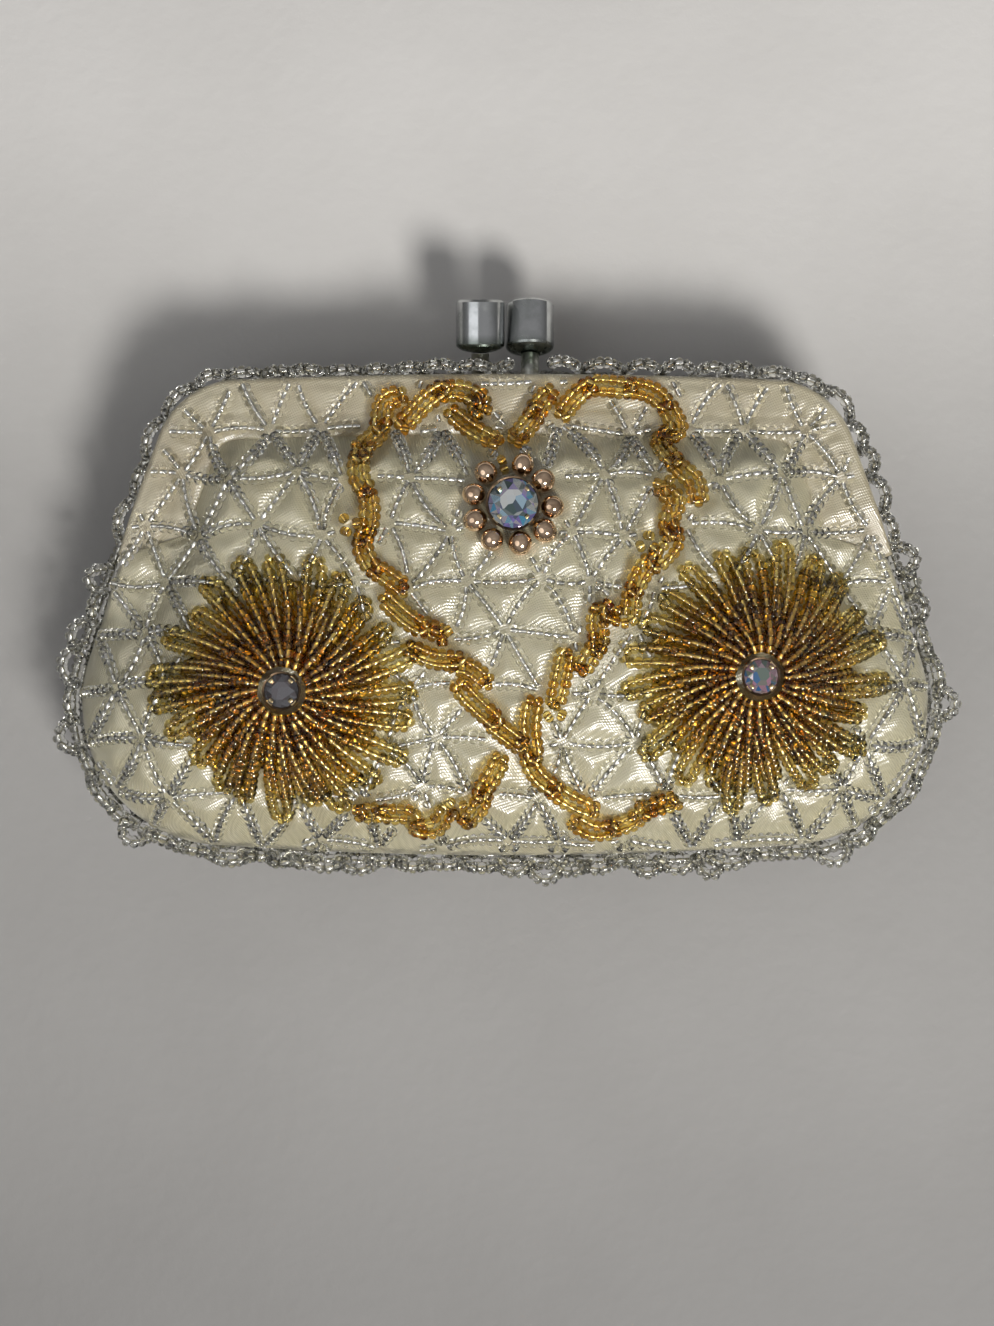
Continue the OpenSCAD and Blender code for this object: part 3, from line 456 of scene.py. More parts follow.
def rounded(distance, run):
    return np.sqrt(np.clip(1 - (1 - np.clip(distance / run, 0, 1)) ** 2, 0, 1))


def softness(x, y, seed):
    return (0.18 * np.sin(x * 0.21 + seed) * np.sin(y * 0.27 + 2 * seed)
            + 0.1 * np.sin(x * 0.53 - y * 0.31 + 3 * seed))


def puffed(x, y, rim, seed):
    puff = 1.2 * (1 - np.exp(-(thread_distance(x, y) / 1.9) ** 2))
    return (puff + softness(x, y, seed)) * ease(rim / 5)


# %% The front and back satin
tuck_depth, tuck_from, tuck_run, tuck_height = 7.7, 3.5, 4.5, 4.9
edge_roll, satin_depth, thin_share = 1.4, 1.2, 0.15


def tuck(y):
    """How far the satin's edge goes in under the frame."""
    return tuck_depth * ease((y - tuck_from) / tuck_run)


def rolled(y, rim, full):
    """The padding's height. Its tucked edge climbs over the lining before it turns inwards."""
    base = tuck_height * ease(tuck(y) / 2)
    return np.where(y > fold_y, base + (full - base) * rounded(rim, edge_roll), full)


def front_cloth(x, y, rim):
    return parting + rolled(y, rim, front_height(x, y)) + puffed(x, y, rim, 0.3)


def back_cloth(x, y, rim):
    full = back_height(x, y)
    lift = puffed(x, y, rim, 1.9) * ease((back_flat - full) / 1.5)
    return parting - rolled(y, rim, full) - lift


def body_satin(name, height, across, along, side):
    made = padded_piece(name, wrapped_grid(name, tuck, height, across, along), ivory_satin,
                        satin_depth, side)
    full = made.vertex_groups.new(name="full_thickness")
    spots = np.array([v.co[:2] for v in made.data.vertices]) / MM
    shares = ease((edge_gap(spots[:, 0], spots[:, 1]) - tuck(spots[:, 1])) / 4)
    for number, share in enumerate(shares):
        full.add([number], float(share), "REPLACE")
    made.modifiers["thickness"].vertex_group = full.name
    made.modifiers["thickness"].thickness_vertex_group = thin_share
    return made


satin_front = body_satin("satin_front", front_cloth, 190, 130, 1)
satin_back = body_satin("satin_back", back_cloth, 170, 120, -1)
print("satin points:", len(satin_front.data.vertices), len(satin_back.data.vertices))

# %% [markdown]
# The lining is a thinner cloth inside the padding. It stops at the same rim, and where
# the frame holds it, it runs along the metal wall and under the frame's face. It shows
# when the purse is open, so it covers the inside with no gap.

# %% The two linings
wall_in, under_flange, under_padding, least_rise = 1.9, 4.3, 2.4, 0.3


def lining_inset(y):
    return wall_in + 0.3 * (1 - held(y))


def lining(name, height, side):
    def lift(x, y, rim):
        gap = edge_gap(x, y)
        under = height(x, y) - under_padding
        tight = np.where(gap < band, under_flange, under)
        tight = np.minimum(tight, under_flange + 9 * ease((gap - band) / wall_run))
        tight = 0.4 + (tight - 0.4) * rounded(rim, 0.5)
        w = held(y)
        rise = (np.maximum(least_rise, under) * (1 - w) + tight * w
                + 0.3 * softness(x, y, 4.0) * ease(rim / 8))
        return parting + side * rise
    return padded_piece(name, wrapped_grid(name, lining_inset, lift, 90, 64), lining_satin, 0.35,
                        side)


lining_front = lining("lining_front", front_height, 1)
lining_back = lining("lining_back", back_height, -1)

# %% [markdown]
# Satin is glued over the metal frame. A grid of points follows the rim one way and the
# section of the frame the other way: up the outside, round the edge, over the face and
# down at its inner side. The cloth ripples a little where it was pulled round a corner.

# %% The satin on the frame
arm_y, arm_tip, arm_taper, cover = 4.5, 3.8, 7.0, 0.45
face_end, corner_x, cover_step = 8.2, 46.0, 0.55


def grid_mesh(name, place):
    """A grid of the size of place, which gives each point's position in millimetres."""
    rows, columns = place.shape[:2]
    bm = bmesh.new()
    bmesh.ops.create_grid(bm, x_segments=columns - 1, y_segments=rows - 1, size=1)
    for vert in bm.verts:
        i = round((vert.co.x + 1) / 2 * (columns - 1))
        j = round((vert.co.y + 1) / 2 * (rows - 1))
        vert.co = place[j, i] * MM
    return to_mesh(bm, name)


def frame_section():
    """Distance in from the rim and height over the parting plane."""
    outside = [(0.04, 0.2), (0, 0.8), (0, 1.8), (0, 2.9), (0, 4.0), (0, 5.0), (0.04, 5.7)]
    turn = [(0.6 - 0.56 * math.cos(a), 6.0 + 0.62 * math.sin(a))
            for a in np.radians([25, 50, 75, 90])]
    face = [(n, 6.62) for n in np.linspace(1.1, 7.4, 16)]
    inner = [(7.85, 6.6), (8.15, 6.45), (8.35, 6.2), (8.35, 5.9), (8.0, 5.7)]
    return np.array(outside + turn + face + inner)


def frame_cloth(name, side, seed):
    path, outward = rim_path(top_end, arm_y, cover_step)
    outward = outward[:, None]
    inset, level = frame_section().T
    tip = arm_tip + cover
    top = tip + (path[:, 1] - arm_y) * (band_top - arm_tip - cover) / arm_taper
    top = np.clip(top, 0, band_top)[:, None]
    x = path[:, None, 0] - outward[..., 0] * inset
    y = path[:, None, 1] - outward[..., 1] * inset
    z = np.minimum(level, top)
    run = np.arange(len(path))[:, None] * cover_step
    on_face = ease((inset - 0.8) / 1.2) * ease((face_end - inset) / 1.2)
    corner = np.exp(-((np.abs(np.abs(path[:, 0]) - corner_x)) / 7.0) ** 2)[:, None]
    ripple = (0.05 * np.sin(run * 0.9 + seed) + 0.04 * np.sin(run * 1.7 + 2 * seed + inset)
              + 0.1 * corner * np.sin(run * 2.6 + seed))
    crease = -0.16 * np.exp(-((inset - 5.2 - 0.4 * np.sin(run * 0.21)) / 0.35) ** 2)
    puff = 0.4 * (1 - np.exp(-(thread_distance(x, y) / 1.8) ** 2))
    held_down = (top - arm_tip - cover) / (band_top - arm_tip - cover)
    z = z + (ripple + crease + puff) * on_face + lip(inset) * held_down
    bulge = 0.07 * np.sin(run * 1.3 + seed) * ease(level / 2) * ease((5.6 - level) / 1.5)
    bulge = bulge * (inset < 0.2)
    place = np.dstack([x + outward[..., 0] * bulge, y + outward[..., 1] * bulge,
                       parting + side * z])
    return padded_piece(name, grid_mesh(name, place), frame_satin, cover, side)


cover_front = frame_cloth("frame_satin_front", 1, 0.4)
cover_back = frame_cloth("frame_satin_back", -1, 1.7)
print("frame satin:", len(cover_front.data.polygons), "faces")

# %% [markdown]
# One seed bead is a short tube of glass with a rounded edge. A closed profile is spun
# round the hole, and the wall of the hole is silvered. The bead has a few dozen faces,
# because it is repeated thousands of times. Every string is then a list of places and
# directions, and the copies of one string group become one mesh.

# %% One seed bead
crystal_d, crystal_l = 1.85, 1.06
gold_d, gold_l = 1.75, 1.12
hole_d = 0.5
bead_r = crystal_d / 2


def spin_profile(bm, outline, steps):
    """Spins a closed profile, of distances and heights, round the upright axis."""
    ring = [bm.verts.new((x, 0, z)) for x, z in outline]
    edges = [bm.edges.new(pair) for pair in zip(ring, ring[1:] + ring[:1])]
    bmesh.ops.spin(bm, geom=ring + edges, cent=(0, 0, 0), axis=(0, 0, 1), steps=steps,
                   angle=2 * math.pi, use_merge=True)
    bmesh.ops.remove_doubles(bm, verts=bm.verts, dist=1e-4)


def bead_template(outline, steps, silvered=0.0):
    """Vertices, faces and a mark on the faces that lie within the silvered radius."""
    bm = bmesh.new()
    spin_profile(bm, outline, steps)
    bm.verts.index_update()
    bmesh.ops.recalc_face_normals(bm, faces=bm.faces)
    verts = np.array([v.co for v in bm.verts])
    faces = np.array([[v.index for v in f.verts] for f in bm.faces])
    bm.free()
    in_hole = np.hypot(verts[:, 0], verts[:, 1]) < silvered
    return verts, faces, in_hole[faces].all(axis=1).astype(int)


def seed_bead(diameter, length):
    r, h, hole = diameter / 2, length / 2, hole_d / 2
    outline = [(hole, -h * 0.86), (r * 0.74, -h), (r, -h * 0.4), (r, h * 0.4), (r * 0.74, h),
               (hole, h * 0.86)]
    return bead_template(outline, 8, hole * 1.01)


crystal_seed = seed_bead(crystal_d, crystal_l)
gold_seed = seed_bead(gold_d, gold_l)
print("a bead has", len(crystal_seed[1]), "faces")

# %% [markdown]
# Glass beads with a silver lining look bright because the foil behind the glass throws
# the light back. So each bead has two materials: clear or amber glass outside, and metal
# inside. An attribute on each bead, named tone, makes some older and darker than others
# at random, and in the flowers it makes the beads darker towards the middle.

# %% Bead finishes


def bead_glass(name, clean, old, roughness, tint_spread, shadow):
    made = finish(name, clean, roughness, Transmission_Weight=1.0, IOR=1.5)
    tree, shader = made.node_tree, shader_of(made)
    tone = add_node(tree, "Attribute", attribute_name="tone")
    colour = add_node(tree, "Mix", data_type="RGBA")
    colour.inputs[MIX_A].default_value = (*clean, 1)
    colour.inputs[MIX_B].default_value = (*old, 1)
    share = add_node(tree, "Math", operation="MULTIPLY")
    share.inputs[1].default_value = tint_spread
    path = add_node(tree, "LightPath")
    thin = add_range(tree, 0, 1, 1, shadow)
    link(tree, (tone, "Fac", share, 0), (share, 0, colour, "Factor"),
         (colour, MIX_OUT, shader, "Base Color"), (path, "Is Shadow Ray", thin, "Value"),
         (thin, 0, shader, "Alpha"))
    return made


def bead_foil(name, bright, tarnished):
    made = finish(name, bright, 0.16, Metallic=1.0)
    aged(made, bright, tarnished, 0.7, 900.0)
    return made


crystal = [
    bead_glass("crystal_glass", (0.98, 0.98, 0.96), (0.86, 0.85, 0.76), 0.02, 0.6, 0.3),
    bead_foil("silver_foil", (1, 0.99, 0.95), (0.22, 0.2, 0.15))]
amber = [
    bead_glass("amber_glass", (0.98, 0.8, 0.28), (0.84, 0.48, 0.06), 0.03, 1.0, 0.5),
    bead_foil("gold_foil", (1, 0.95, 0.78), (0.4, 0.24, 0.08))]

# %% Lay copies of a bead along strings


def facing(directions):
    """Rotations that turn the bead's hole to each direction."""
    along = directions / np.linalg.norm(directions, axis=1, keepdims=True)
    helper = np.where(np.abs(along[:, 2:3]) < 0.9, [[0, 0, 1.0]], [[1.0, 0, 0]])
    side = np.cross(helper, along)
    side /= np.linalg.norm(side, axis=1, keepdims=True)
    return np.stack([side, np.cross(along, side), along], axis=2)


def lay_beads(name, template, places, directions, materials, tones=None, sizes=None):
    verts, faces, marks = template
    places, directions = np.asarray(places), np.asarray(directions)
    count = len(places)
    sizes = rng.uniform(0.94, 1.05, count) if sizes is None else sizes
    tones = rng.uniform(0, 1, count) if tones is None else tones
    points = np.einsum("nij,vj->nvi", facing(directions), verts) * np.reshape(sizes, (-1, 1, 1))
    points = (points + places[:, None]) * MM
    corners = faces[None] + (np.arange(count) * len(verts))[:, None, None]
    mesh = bpy.data.meshes.new(name)
    mesh.from_pydata(points.reshape(-1, 3).tolist(), [], corners.reshape(-1, 4).tolist())
    mesh.polygons.foreach_set("material_index", np.tile(marks, count))
    mesh.attributes.new("tone", "FLOAT", "POINT").data.foreach_set(
        "value", np.repeat(tones, len(verts)).astype(np.float32))
    mesh.validate()
    made = piece(name, mesh, *materials)
    mesh.set_sharp_from_angle(angle=math.radians(70))
    return made


def lengths_along(path):
    return np.r_[0, np.cumsum(np.linalg.norm(np.diff(path, axis=0), axis=1))]


def sample(at, reached, path):
    """Points of a path at the given lengths along it."""
    return np.stack([np.interp(at, reached, column) for column in path.T], axis=-1)


def walk(path, pitch, start=0.5):
    """Places and directions at even steps along a path of points."""
    path = np.asarray(path, float)
    reached = lengths_along(path)
    count = max(1, int(reached[-1] / pitch + 0.25))
    at = (np.arange(count) + start) * reached[-1] / count
    ahead, behind = sample(at + 0.2, reached, path), sample(at - 0.2, reached, path)
    return sample(at, reached, path), ahead - behind


def heights_round(height, x, y, run):
    return [height(x + run * math.cos(a), y + run * math.sin(a))
            for a in np.linspace(0, 2 * math.pi, 8, endpoint=False)]


def smooth_height(height, x, y):
    return np.maximum(np.mean(heights_round(height, x, y, 0.9), axis=0), height(x, y) - 0.4)


# %% [markdown]
# Gold strings wander over the front between the flowers, as branches made of long loops
# laid end over end, with small knots of beads for buds. Their routes are read as points and
# smoothed, and each loop is turned and lifted a little. They are worked out before
# the crystal net, because the net leaves out the beads that a gold string replaces.

# %% Routes of the gold strings
routes = [
    [[-15, 27.5], [-17.5, 26.5], [-18.5, 22], [-20.5, 19.5], [-21, 15], [-19.5, 12],
     [-19.5, 8.5], [-20.5, 5.5], [-19, 2.5], [-17, 1], [-14.5, -1]],
    [[-15.5, 23.5], [-11.5, 26.5], [-8, 28], [-5.5, 28], [-3.5, 27], [-4.5, 25]],
    [[-8, 25], [-5.5, 23], [-3, 21.5], [-1, 20.6]],
    [[1.5, 20.8], [3.5, 23.5], [5, 26], [6.5, 28.2]],
    [[8, 24.8], [10, 27], [12.5, 28.6], [15, 28.8], [19, 28.5], [22, 27.5], [24, 25],
     [25, 22.5], [22.5, 20.5], [25, 16.5], [27, 14.5], [27.5, 11.5]],
    [[22.5, 13.5], [24.5, 11.5], [23, 8.5], [24, 5.5], [20, 2], [18, -1], [17.5, -5],
     [13.5, -4.5], [13, -8.5], [11, -12.5]],
    [[-17.5, -2.5], [-14, -5], [-9, -7.5]],
    [[-13.5, -9], [-10, -11], [-5.5, -12], [-3, -14.5]],
    [[-6.5, -14.5], [-4, -17.5], [0.5, -22], [2, -23.5]],
    [[8.5, -10], [8, -13], [7, -18.5]],
    [[4.5, -17], [3.5, -21], [4, -26.5], [7, -30], [11, -32], [13.5, -32.5]],
    [[-1, -25], [-2.5, -29], [-4, -32.5], [-6, -34.5]],
    [[-8.5, -32.5], [-10, -35.2], [-12.5, -35.5], [-14, -33.5], [-17.5, -33.5], [-21, -33]],
    [[10, -34.6], [13, -36], [16, -35.5], [18.5, -34.5], [21, -32.5], [24.5, -31.5]]]
buds = [(-20.6, 19.6), (-22.3, 8.2), (22.7, 13.9), (20.2, 5.5), (13.8, -3.9), (-7.1, -32.4),
        (19.5, -33.2), (-9, -7.5), (7, -18.5), (-3.5, 25.5)]
gold_pitch, overhang, loop_points = 1.16, 0.6, 20
bud_reach, bud_lift = 1.1, 1.2
gold_places, gold_directions = [], []


def smooth_route(route, steps=8):
    route = np.asarray(route, float)
    ends = np.r_[[route[0]], route, [route[-1]]]
    found = []
    for a, b, c, d in zip(ends, ends[1:], ends[2:], ends[3:]):
        for t in np.linspace(0, 1, steps, endpoint=False):
            found.append(0.5 * (2 * b + (c - a) * t + (2 * a - 5 * b + 4 * c - d) * t * t
                                + (3 * b - a - 3 * c + d) * t ** 3))
    return np.array(found + [route[-1]])


def long_loop(flat, half, lift):
    """A closed loop laid along a short path: out on one side and back on the other."""
    ahead = np.gradient(flat, axis=0)
    ahead /= np.linalg.norm(ahead, axis=1, keepdims=True)
    across = np.c_[-ahead[:, 1], ahead[:, 0]]
    share = np.linspace(0, 1, len(flat))
    tip = half * np.sqrt(np.clip(1 - (np.abs(share - 0.5) * 2) ** 8, 0, 1))
    rise = (lift * share ** 2 + 0.5 * np.sin(math.pi * share))[:, None]
    there = np.hstack([flat + across * tip[:, None], rise])
    back = np.hstack([flat - across * tip[:, None], rise])
    return np.vstack([there, back[::-1]])


for route in routes:
    flat = smooth_route(route)
    reached = lengths_along(flat)
    at = -overhang
    while at < reached[-1] - 3:
        loop = min(chance.uniform(6.5, 9.5), reached[-1] - at + 0.8)
        along = np.clip(np.linspace(at, at + loop, loop_points), 0, reached[-1])
        part = sample(along, reached, flat) + 1e-3 * np.linspace(0, 1, loop_points)[:, None]
        turn = chance.uniform(-0.16, 0.16)
        spun = np.array([[math.cos(turn), math.sin(turn)], [-math.sin(turn), math.cos(turn)]])
        part = part.mean(0) + (part - part.mean(0)) @ spun
        path = long_loop(part, chance.uniform(0.76, 0.92), chance.uniform(0.3, 1.6))
        places, directions = walk(path, gold_pitch, chance.uniform(0.3, 0.7))
        gold_places.append(places)
        gold_directions.append(directions)
        at += loop * chance.uniform(0.72, 0.86)
for x, y in buds:
    start = chance.uniform(0, 6)
    for k in range(3):
        c, s = math.cos(start + k * 2 * math.pi / 3), math.sin(start + k * 2 * math.pi / 3)
        gold_places.append([[x + bud_reach * c, y + bud_reach * s, bud_lift]])
        gold_directions.append([[c, s, 1.5]])
gold_places, gold_directions = np.vstack(gold_places), np.vstack(gold_directions)
print("gold beads in the strings:", len(gold_places))

# %% [markdown]
# The net is a lattice of triangles, and six strings of about six beads meet at each
# star. No two strings hang the same, so each arches a little to one side. The beads are
# counted along the cloth, so that they stay close on the steep flanks too. The net stops
# where a flower or the jewel covers it.

# %% The crystal net on the front
left_flower, right_flower = np.array([-31.5, -15.4]), np.array([35.9, -13.4])
jewel = np.array([1.1, 11.2])
covered = [(left_flower, 15.6), (right_flower, 15.6), (jewel, 7.9)]
net_bead_pitch, net_rim, net_split, gold_room = 1.2, 1.1, -6, 1.35
seat_gap = 0.12


def on_back(p):
    return float(edge_gap(p[0], p[1])) > net_rim


def on_open_front(p):
    far = all(np.hypot(*(p[:2] - c)) > r for c, r in covered)
    off_gold = np.min(np.hypot(*(gold_places[:, :2] - p[:2]).T)) > gold_room
    return far and off_gold and on_back(p)


def net_beads(height, side, keep):
    """Beads along every string, at even steps over the cloth."""
    share = np.linspace(0.09, 0.91, 15)
    length = np.hypot(string_run[:, 0], string_run[:, 1])
    across = np.c_[-string_run[:, 1], string_run[:, 0]] / length[:, None]
    hang = np.sin(math.pi * share)
    arch = rng.uniform(-0.75, 0.75, len(length))[:, None] * hang
    slack = rng.uniform(0.1, 0.75, len(length))[:, None] * hang
    flat = (string_a[:, None] + string_run[:, None] * share[:, None]
            + across[:, None] * arch[:, :, None])
    level = smooth_height(height, flat[..., 0], flat[..., 1]) + bead_r + seat_gap + slack
    places, directions = [], []
    for path, z in zip(flat, parting + side * level):
        found, ahead = walk(np.c_[path, z], net_bead_pitch)
        kept = [keep(p) for p in found]
        places.append(found[kept])
        directions.append(ahead[kept])
    return np.vstack(places), np.vstack(directions)


def lay_net(names, height, side, keep):
    """The net of one side in two pieces, below and above the hinge line."""
    places, directions = net_beads(height, side, keep)
    places[:, 2] = np.maximum(places[:, 2], bead_r * 1.05)
    print(names, len(places), "beads")
    lower = places[:, 1] < net_split
    return [lay_beads(name, crystal_seed, places[part], directions[part], crystal)
            for name, part in zip(names, (lower, ~lower))]


net_lower, net_upper = lay_net(("crystal_net_lower", "crystal_net_upper"), front_height, 1,
                               on_open_front)

# %% [markdown]
# The same net covers the back. The purse lies on it, so there the beads are pressed into
# one level, and none goes below the table.

# %% The crystal net on the back


def back_net_height(x, y):
    return np.minimum(back_height(x, y), parting - 2 * bead_r - seat_gap)


net_back_lower, net_back_upper = lay_net(("back_net_lower", "back_net_upper"), back_net_height,
                                         -1, on_back)

# %% Gold strings on the front
slope_step, gold_gap = 0.4, 0.35


def slope(height, x, y, d):
    ahead = smooth_height(height, x + d[:, 0] * slope_step, y + d[:, 1] * slope_step)
    behind = smooth_height(height, x - d[:, 0] * slope_step, y - d[:, 1] * slope_step)
    return (ahead - behind) / (2 * slope_step)


x, y, z = gold_places.T
flat = gold_directions[:, :2] / np.linalg.norm(gold_directions[:, :2], axis=1, keepdims=True)
lift = gold_d / 2 + gold_gap + z + rng.uniform(0, 0.3, len(z))
scroll = lay_beads("gold_strings", gold_seed,
                   np.c_[x, y, parting + smooth_height(front_height, x, y) + lift],
                   np.c_[flat, slope(front_height, x, y, flat)], amber)

# %% [markdown]
# Each flower has three layers of loops. A loop is one string that runs out, turns and
# comes back, and the whole flower is twisted a little, like a pinwheel. The loops arch up
# from the cloth, and a lower layer is longer, so that all three show from above.

# %% The two flowers
root_half, fade_reach = 0.55, 15
# Each layer: loops, where they start and end, half their width, lift, arch and twist.
layers = [(23, 4.8, 18.8, 1.0, 1.0, 1.2, 0.16), (18, 4.0, 15.8, 0.95, 2.4, 1.4, 0.2),
          (12, 3.4, 12.0, 0.95, 3.7, 1.2, 0.24)]


def flower_loop(angle, root, tip, spread, lift, arch, twist):
    """One loop's path: out on one side, round the tip and back."""
    out = np.linspace(0, 1, 24)
    turn = np.linspace(0, math.pi, 12)[1:-1]
    straight = tip - spread
    r = root + (straight - root) * out
    half = root_half + (spread - root_half) * np.sin(out * math.pi / 2)
    round_tip = np.c_[straight + spread * np.sin(turn), spread * np.cos(turn)]
    plan = np.vstack([np.c_[r, half], round_tip, np.c_[r[::-1], -half[::-1]]])
    share = (plan[:, 0] - root) / (tip - root)
    a = angle + twist * share
    x = plan[:, 0] * np.cos(a) - plan[:, 1] * np.sin(a)
    y = plan[:, 0] * np.sin(a) + plan[:, 1] * np.cos(a)
    z = lift * (1 - share) + 0.1 + arch * np.sin(math.pi * np.clip(share, 0, 1) ** 0.8)
    return np.c_[x, y, z]


def bead_flower(name, centre, start):
    places, directions, tones = [], [], []
    for number, (count, root, tip, spread, lift, arch, twist) in enumerate(layers):
        for k in range(count):
            angle = start + 2 * math.pi * (k + 0.5 * number) / count + chance.uniform(-0.05, 0.05)
            path = flower_loop(angle, root, tip * chance.uniform(0.88, 1.06),
                               spread * chance.uniform(0.9, 1.1), lift + 0.35 * (k % 2),
                               arch * chance.uniform(0.8, 1.2), twist)
            path[:, :2] += centre
            path[:, 2] += front_height(path[:, 0], path[:, 1]) + gold_d / 2
            found, along = walk(path, gold_pitch)
            places.append(found)
            directions.append(along)
            # Beads nearer the flower's middle get a higher tone, so they are drawn darker.
            fade = 1.1 - np.hypot(*(found[:, :2] - centre).T) / fade_reach
            tones.append(np.clip(fade + rng.normal(0, 0.14, len(found)), 0, 1))
    places = np.vstack(places)
    places[:, 2] += parting
    return lay_beads(name, gold_seed, places, np.vstack(directions), amber,
                     tones=np.concatenate(tones))


flower_left = bead_flower("gold_flower_left", left_flower, 0.1)
flower_right = bead_flower("gold_flower_right", right_flower, 0.35)
print("flower faces:", len(flower_left.data.polygons), len(flower_right.data.polygons))

# %% [markdown]
# The rim is hidden by short loops of clear beads, sewn side by side, that stand up the
# flank of the padding. The front has its own row and the back has another, because the
# frame opens between them. Below the hinge a plain string also runs on the seam.

# %% Loops of beads along the rim
knob_x, stem_room, stem_y, no_stem = 3.71, 2.9, 28, 99
rim_pitch, seam_pitch, rim_step, seam_out = 1.14, 1.16, 0.5, 1.35


def flank_gap(z, y):
    """How far in from the rim the padding's flank is at a height z."""
    free = dome_run * (1 - (1 - (z / front_depth) ** (1 / steepness)) ** (1 / crown))
    return free * (1 - held(y))


def rim_loops(name, rim, side, stem_x=no_stem, low=2.6, tall=4.9, stand=1.2, next_at=0.98,
              cling=1.0):
    """A row of loops from a height low to about low + tall, standing off by up to stand."""
    path, outward = rim
    reached = lengths_along(path)
    places, directions = [], []
    s, loop = chance.uniform(0.2, 0.8), 5.5
    while s + loop < reached[-1]:
        u = np.linspace(0, 1, 25)
        at = s + loop * u
        spot, out = sample(at, reached, path), sample(at, reached, outward)
        z = low + tall * chance.uniform(0.7, 1.2) * np.sin(math.pi * u) ** 0.8
        off = bead_r + 0.1 + chance.uniform(0.2, stand) * np.sin(math.pi * u)
        off = off - cling * flank_gap(z, spot[:, 1])
        route = np.c_[spot + out * off[:, None], parting + side * z]
        found, along = walk(route, rim_pitch)
        clear = (found[:, 1] < stem_y) | (np.abs(found[:, 0] - stem_x) > stem_room)
        places.append(found[clear])
        directions.append(along[clear])
        s += loop * chance.uniform(next_at - 0.25, next_at)
        loop = chance.uniform(4.6, 7.2)
    return lay_beads(name, crystal_seed, np.vstack(places), np.vstack(directions), crystal)


upper_rim = rim_path(top_end, arm_y + 0.5, rim_step)
lower_rim = rim_path(low_end, 6.5, rim_step)
rim_front = rim_loops("rim_loops_front", upper_rim, 1, knob_x)
rim_back = rim_loops("rim_loops_back", upper_rim, -1, -knob_x)
rim_low_front = rim_loops("rim_loops_low_front", lower_rim, 1, low=1.7, tall=3.6, stand=3.4,
                          next_at=0.85, cling=0.4)
rim_low_back = rim_loops("rim_loops_low_back", lower_rim, -1, low=1.7, tall=3.0, stand=2.2,
                         cling=0.6)
seam_path = np.c_[lower_rim[0] + lower_rim[1] * seam_out, np.full(len(lower_rim[0]), parting)]
seam_string = lay_beads("seam_string", crystal_seed, *walk(seam_path, seam_pitch), crystal)

# %% [markdown]
# A cut stone is the hull of six rings of points: the table, the crown, both edges of the
# girdle, the pavilion and its tip. The hull operator joins them with flat facets, as a
# wheel grinds them. Its coating makes a facet's colour depend on how it is turned, so the
# colour is read from the facet's normal and from a pattern of cells. The cells are painted
# reflections of the facets seen through the stone, and the near white and near black
# stops of the colours are painted sparkle and painted shade inside the stone.

# %% Cut stones
jewel_d, small_d = 7.1, 4.8


def in_place(bm, centre, z):
    """Turns millimetres into metres and moves the form to its place."""
    bmesh.ops.scale(bm, verts=bm.verts, vec=(MM, MM, MM))
    bmesh.ops.translate(bm, verts=bm.verts, vec=Vector((*centre, z)) * MM)


def cut_stone(name, centre, z, diameter, material):
    r = diameter / 2
    # Each ring: radius, height, points and the turn in shares of a step.
    rings = [(0.56 * r, 0.36 * r, 8, 0.5), (0.8 * r, 0.2 * r, 8, 0), (r, 0.02 * r, 16, 0),
             (r, -0.05 * r, 16, 0), (0.5 * r, -0.5 * r, 8, 0.5), (0.08 * r, -0.8 * r, 4, 0)]
    bm = bmesh.new()
    for radius, height, count, shift in rings:
        made = bmesh.ops.create_circle(bm, segments=count, radius=radius)
        turn = Matrix.Rotation(2 * math.pi * shift / count, 3, "Z")
        bmesh.ops.rotate(bm, verts=made["verts"], matrix=turn)
        bmesh.ops.translate(bm, verts=made["verts"], vec=(0, 0, height))
    hull = bmesh.ops.convex_hull(bm, input=bm.verts)
    spare = [g for g in hull["geom_interior"] + hull["geom_unused"]
             if isinstance(g, bmesh.types.BMVert)]
    bmesh.ops.delete(bm, geom=spare, context="VERTS")
    bmesh.ops.dissolve_limit(bm, angle_limit=math.radians(2), verts=bm.verts, edges=bm.edges)
    in_place(bm, centre, z)
    bmesh.ops.recalc_face_normals(bm, faces=bm.faces)
    return piece(name, to_mesh(bm, name), material, smooth=False)


def stone_coat_and_painted_sparkle(name, coat_and_sparkle_colours):
    made = finish(name, coat_and_sparkle_colours[0], 0.06, Metallic=0.85, Coat_Weight=1.0, Coat_Roughness=0.02)
    tree = made.node_tree
    facet = add_node(tree, "NewGeometry")
    mixing = add_node(tree, "VectorMath", operation="DOT_PRODUCT")
    mixing.inputs[1].default_value = (2.1, 1.4, 0.9)
    place = add_node(tree, "TexCoord")
    # These cells paint reflections of the facets seen through the stone.
    inside = add_node(tree, "TexVoronoi", voronoi_dimensions="2D", Scale=720.0)
    added = add_node(tree, "Math", operation="ADD")
    share = add_node(tree, "Math", operation="FRACT")
    ramp = add_node(tree, "ValToRGB")
    stops = ramp.color_ramp.elements
    while len(stops) < len(coat_and_sparkle_colours):
        stops.new(0.5)
    for k, (stop, colour) in enumerate(zip(stops, coat_and_sparkle_colours)):
        stop.position = k / (len(coat_and_sparkle_colours) - 1)
        stop.color = (*colour, 1)
    link(tree, (facet, "True Normal", mixing, 0), (place, "Object", inside, "Vector"),
         (mixing, "Value", added, 0), (inside, "Color", added, 1), (added, 0, share, 0),
         (share, 0, ramp, 0), (ramp, 0, shader_of(made), "Base Color"))
    return made


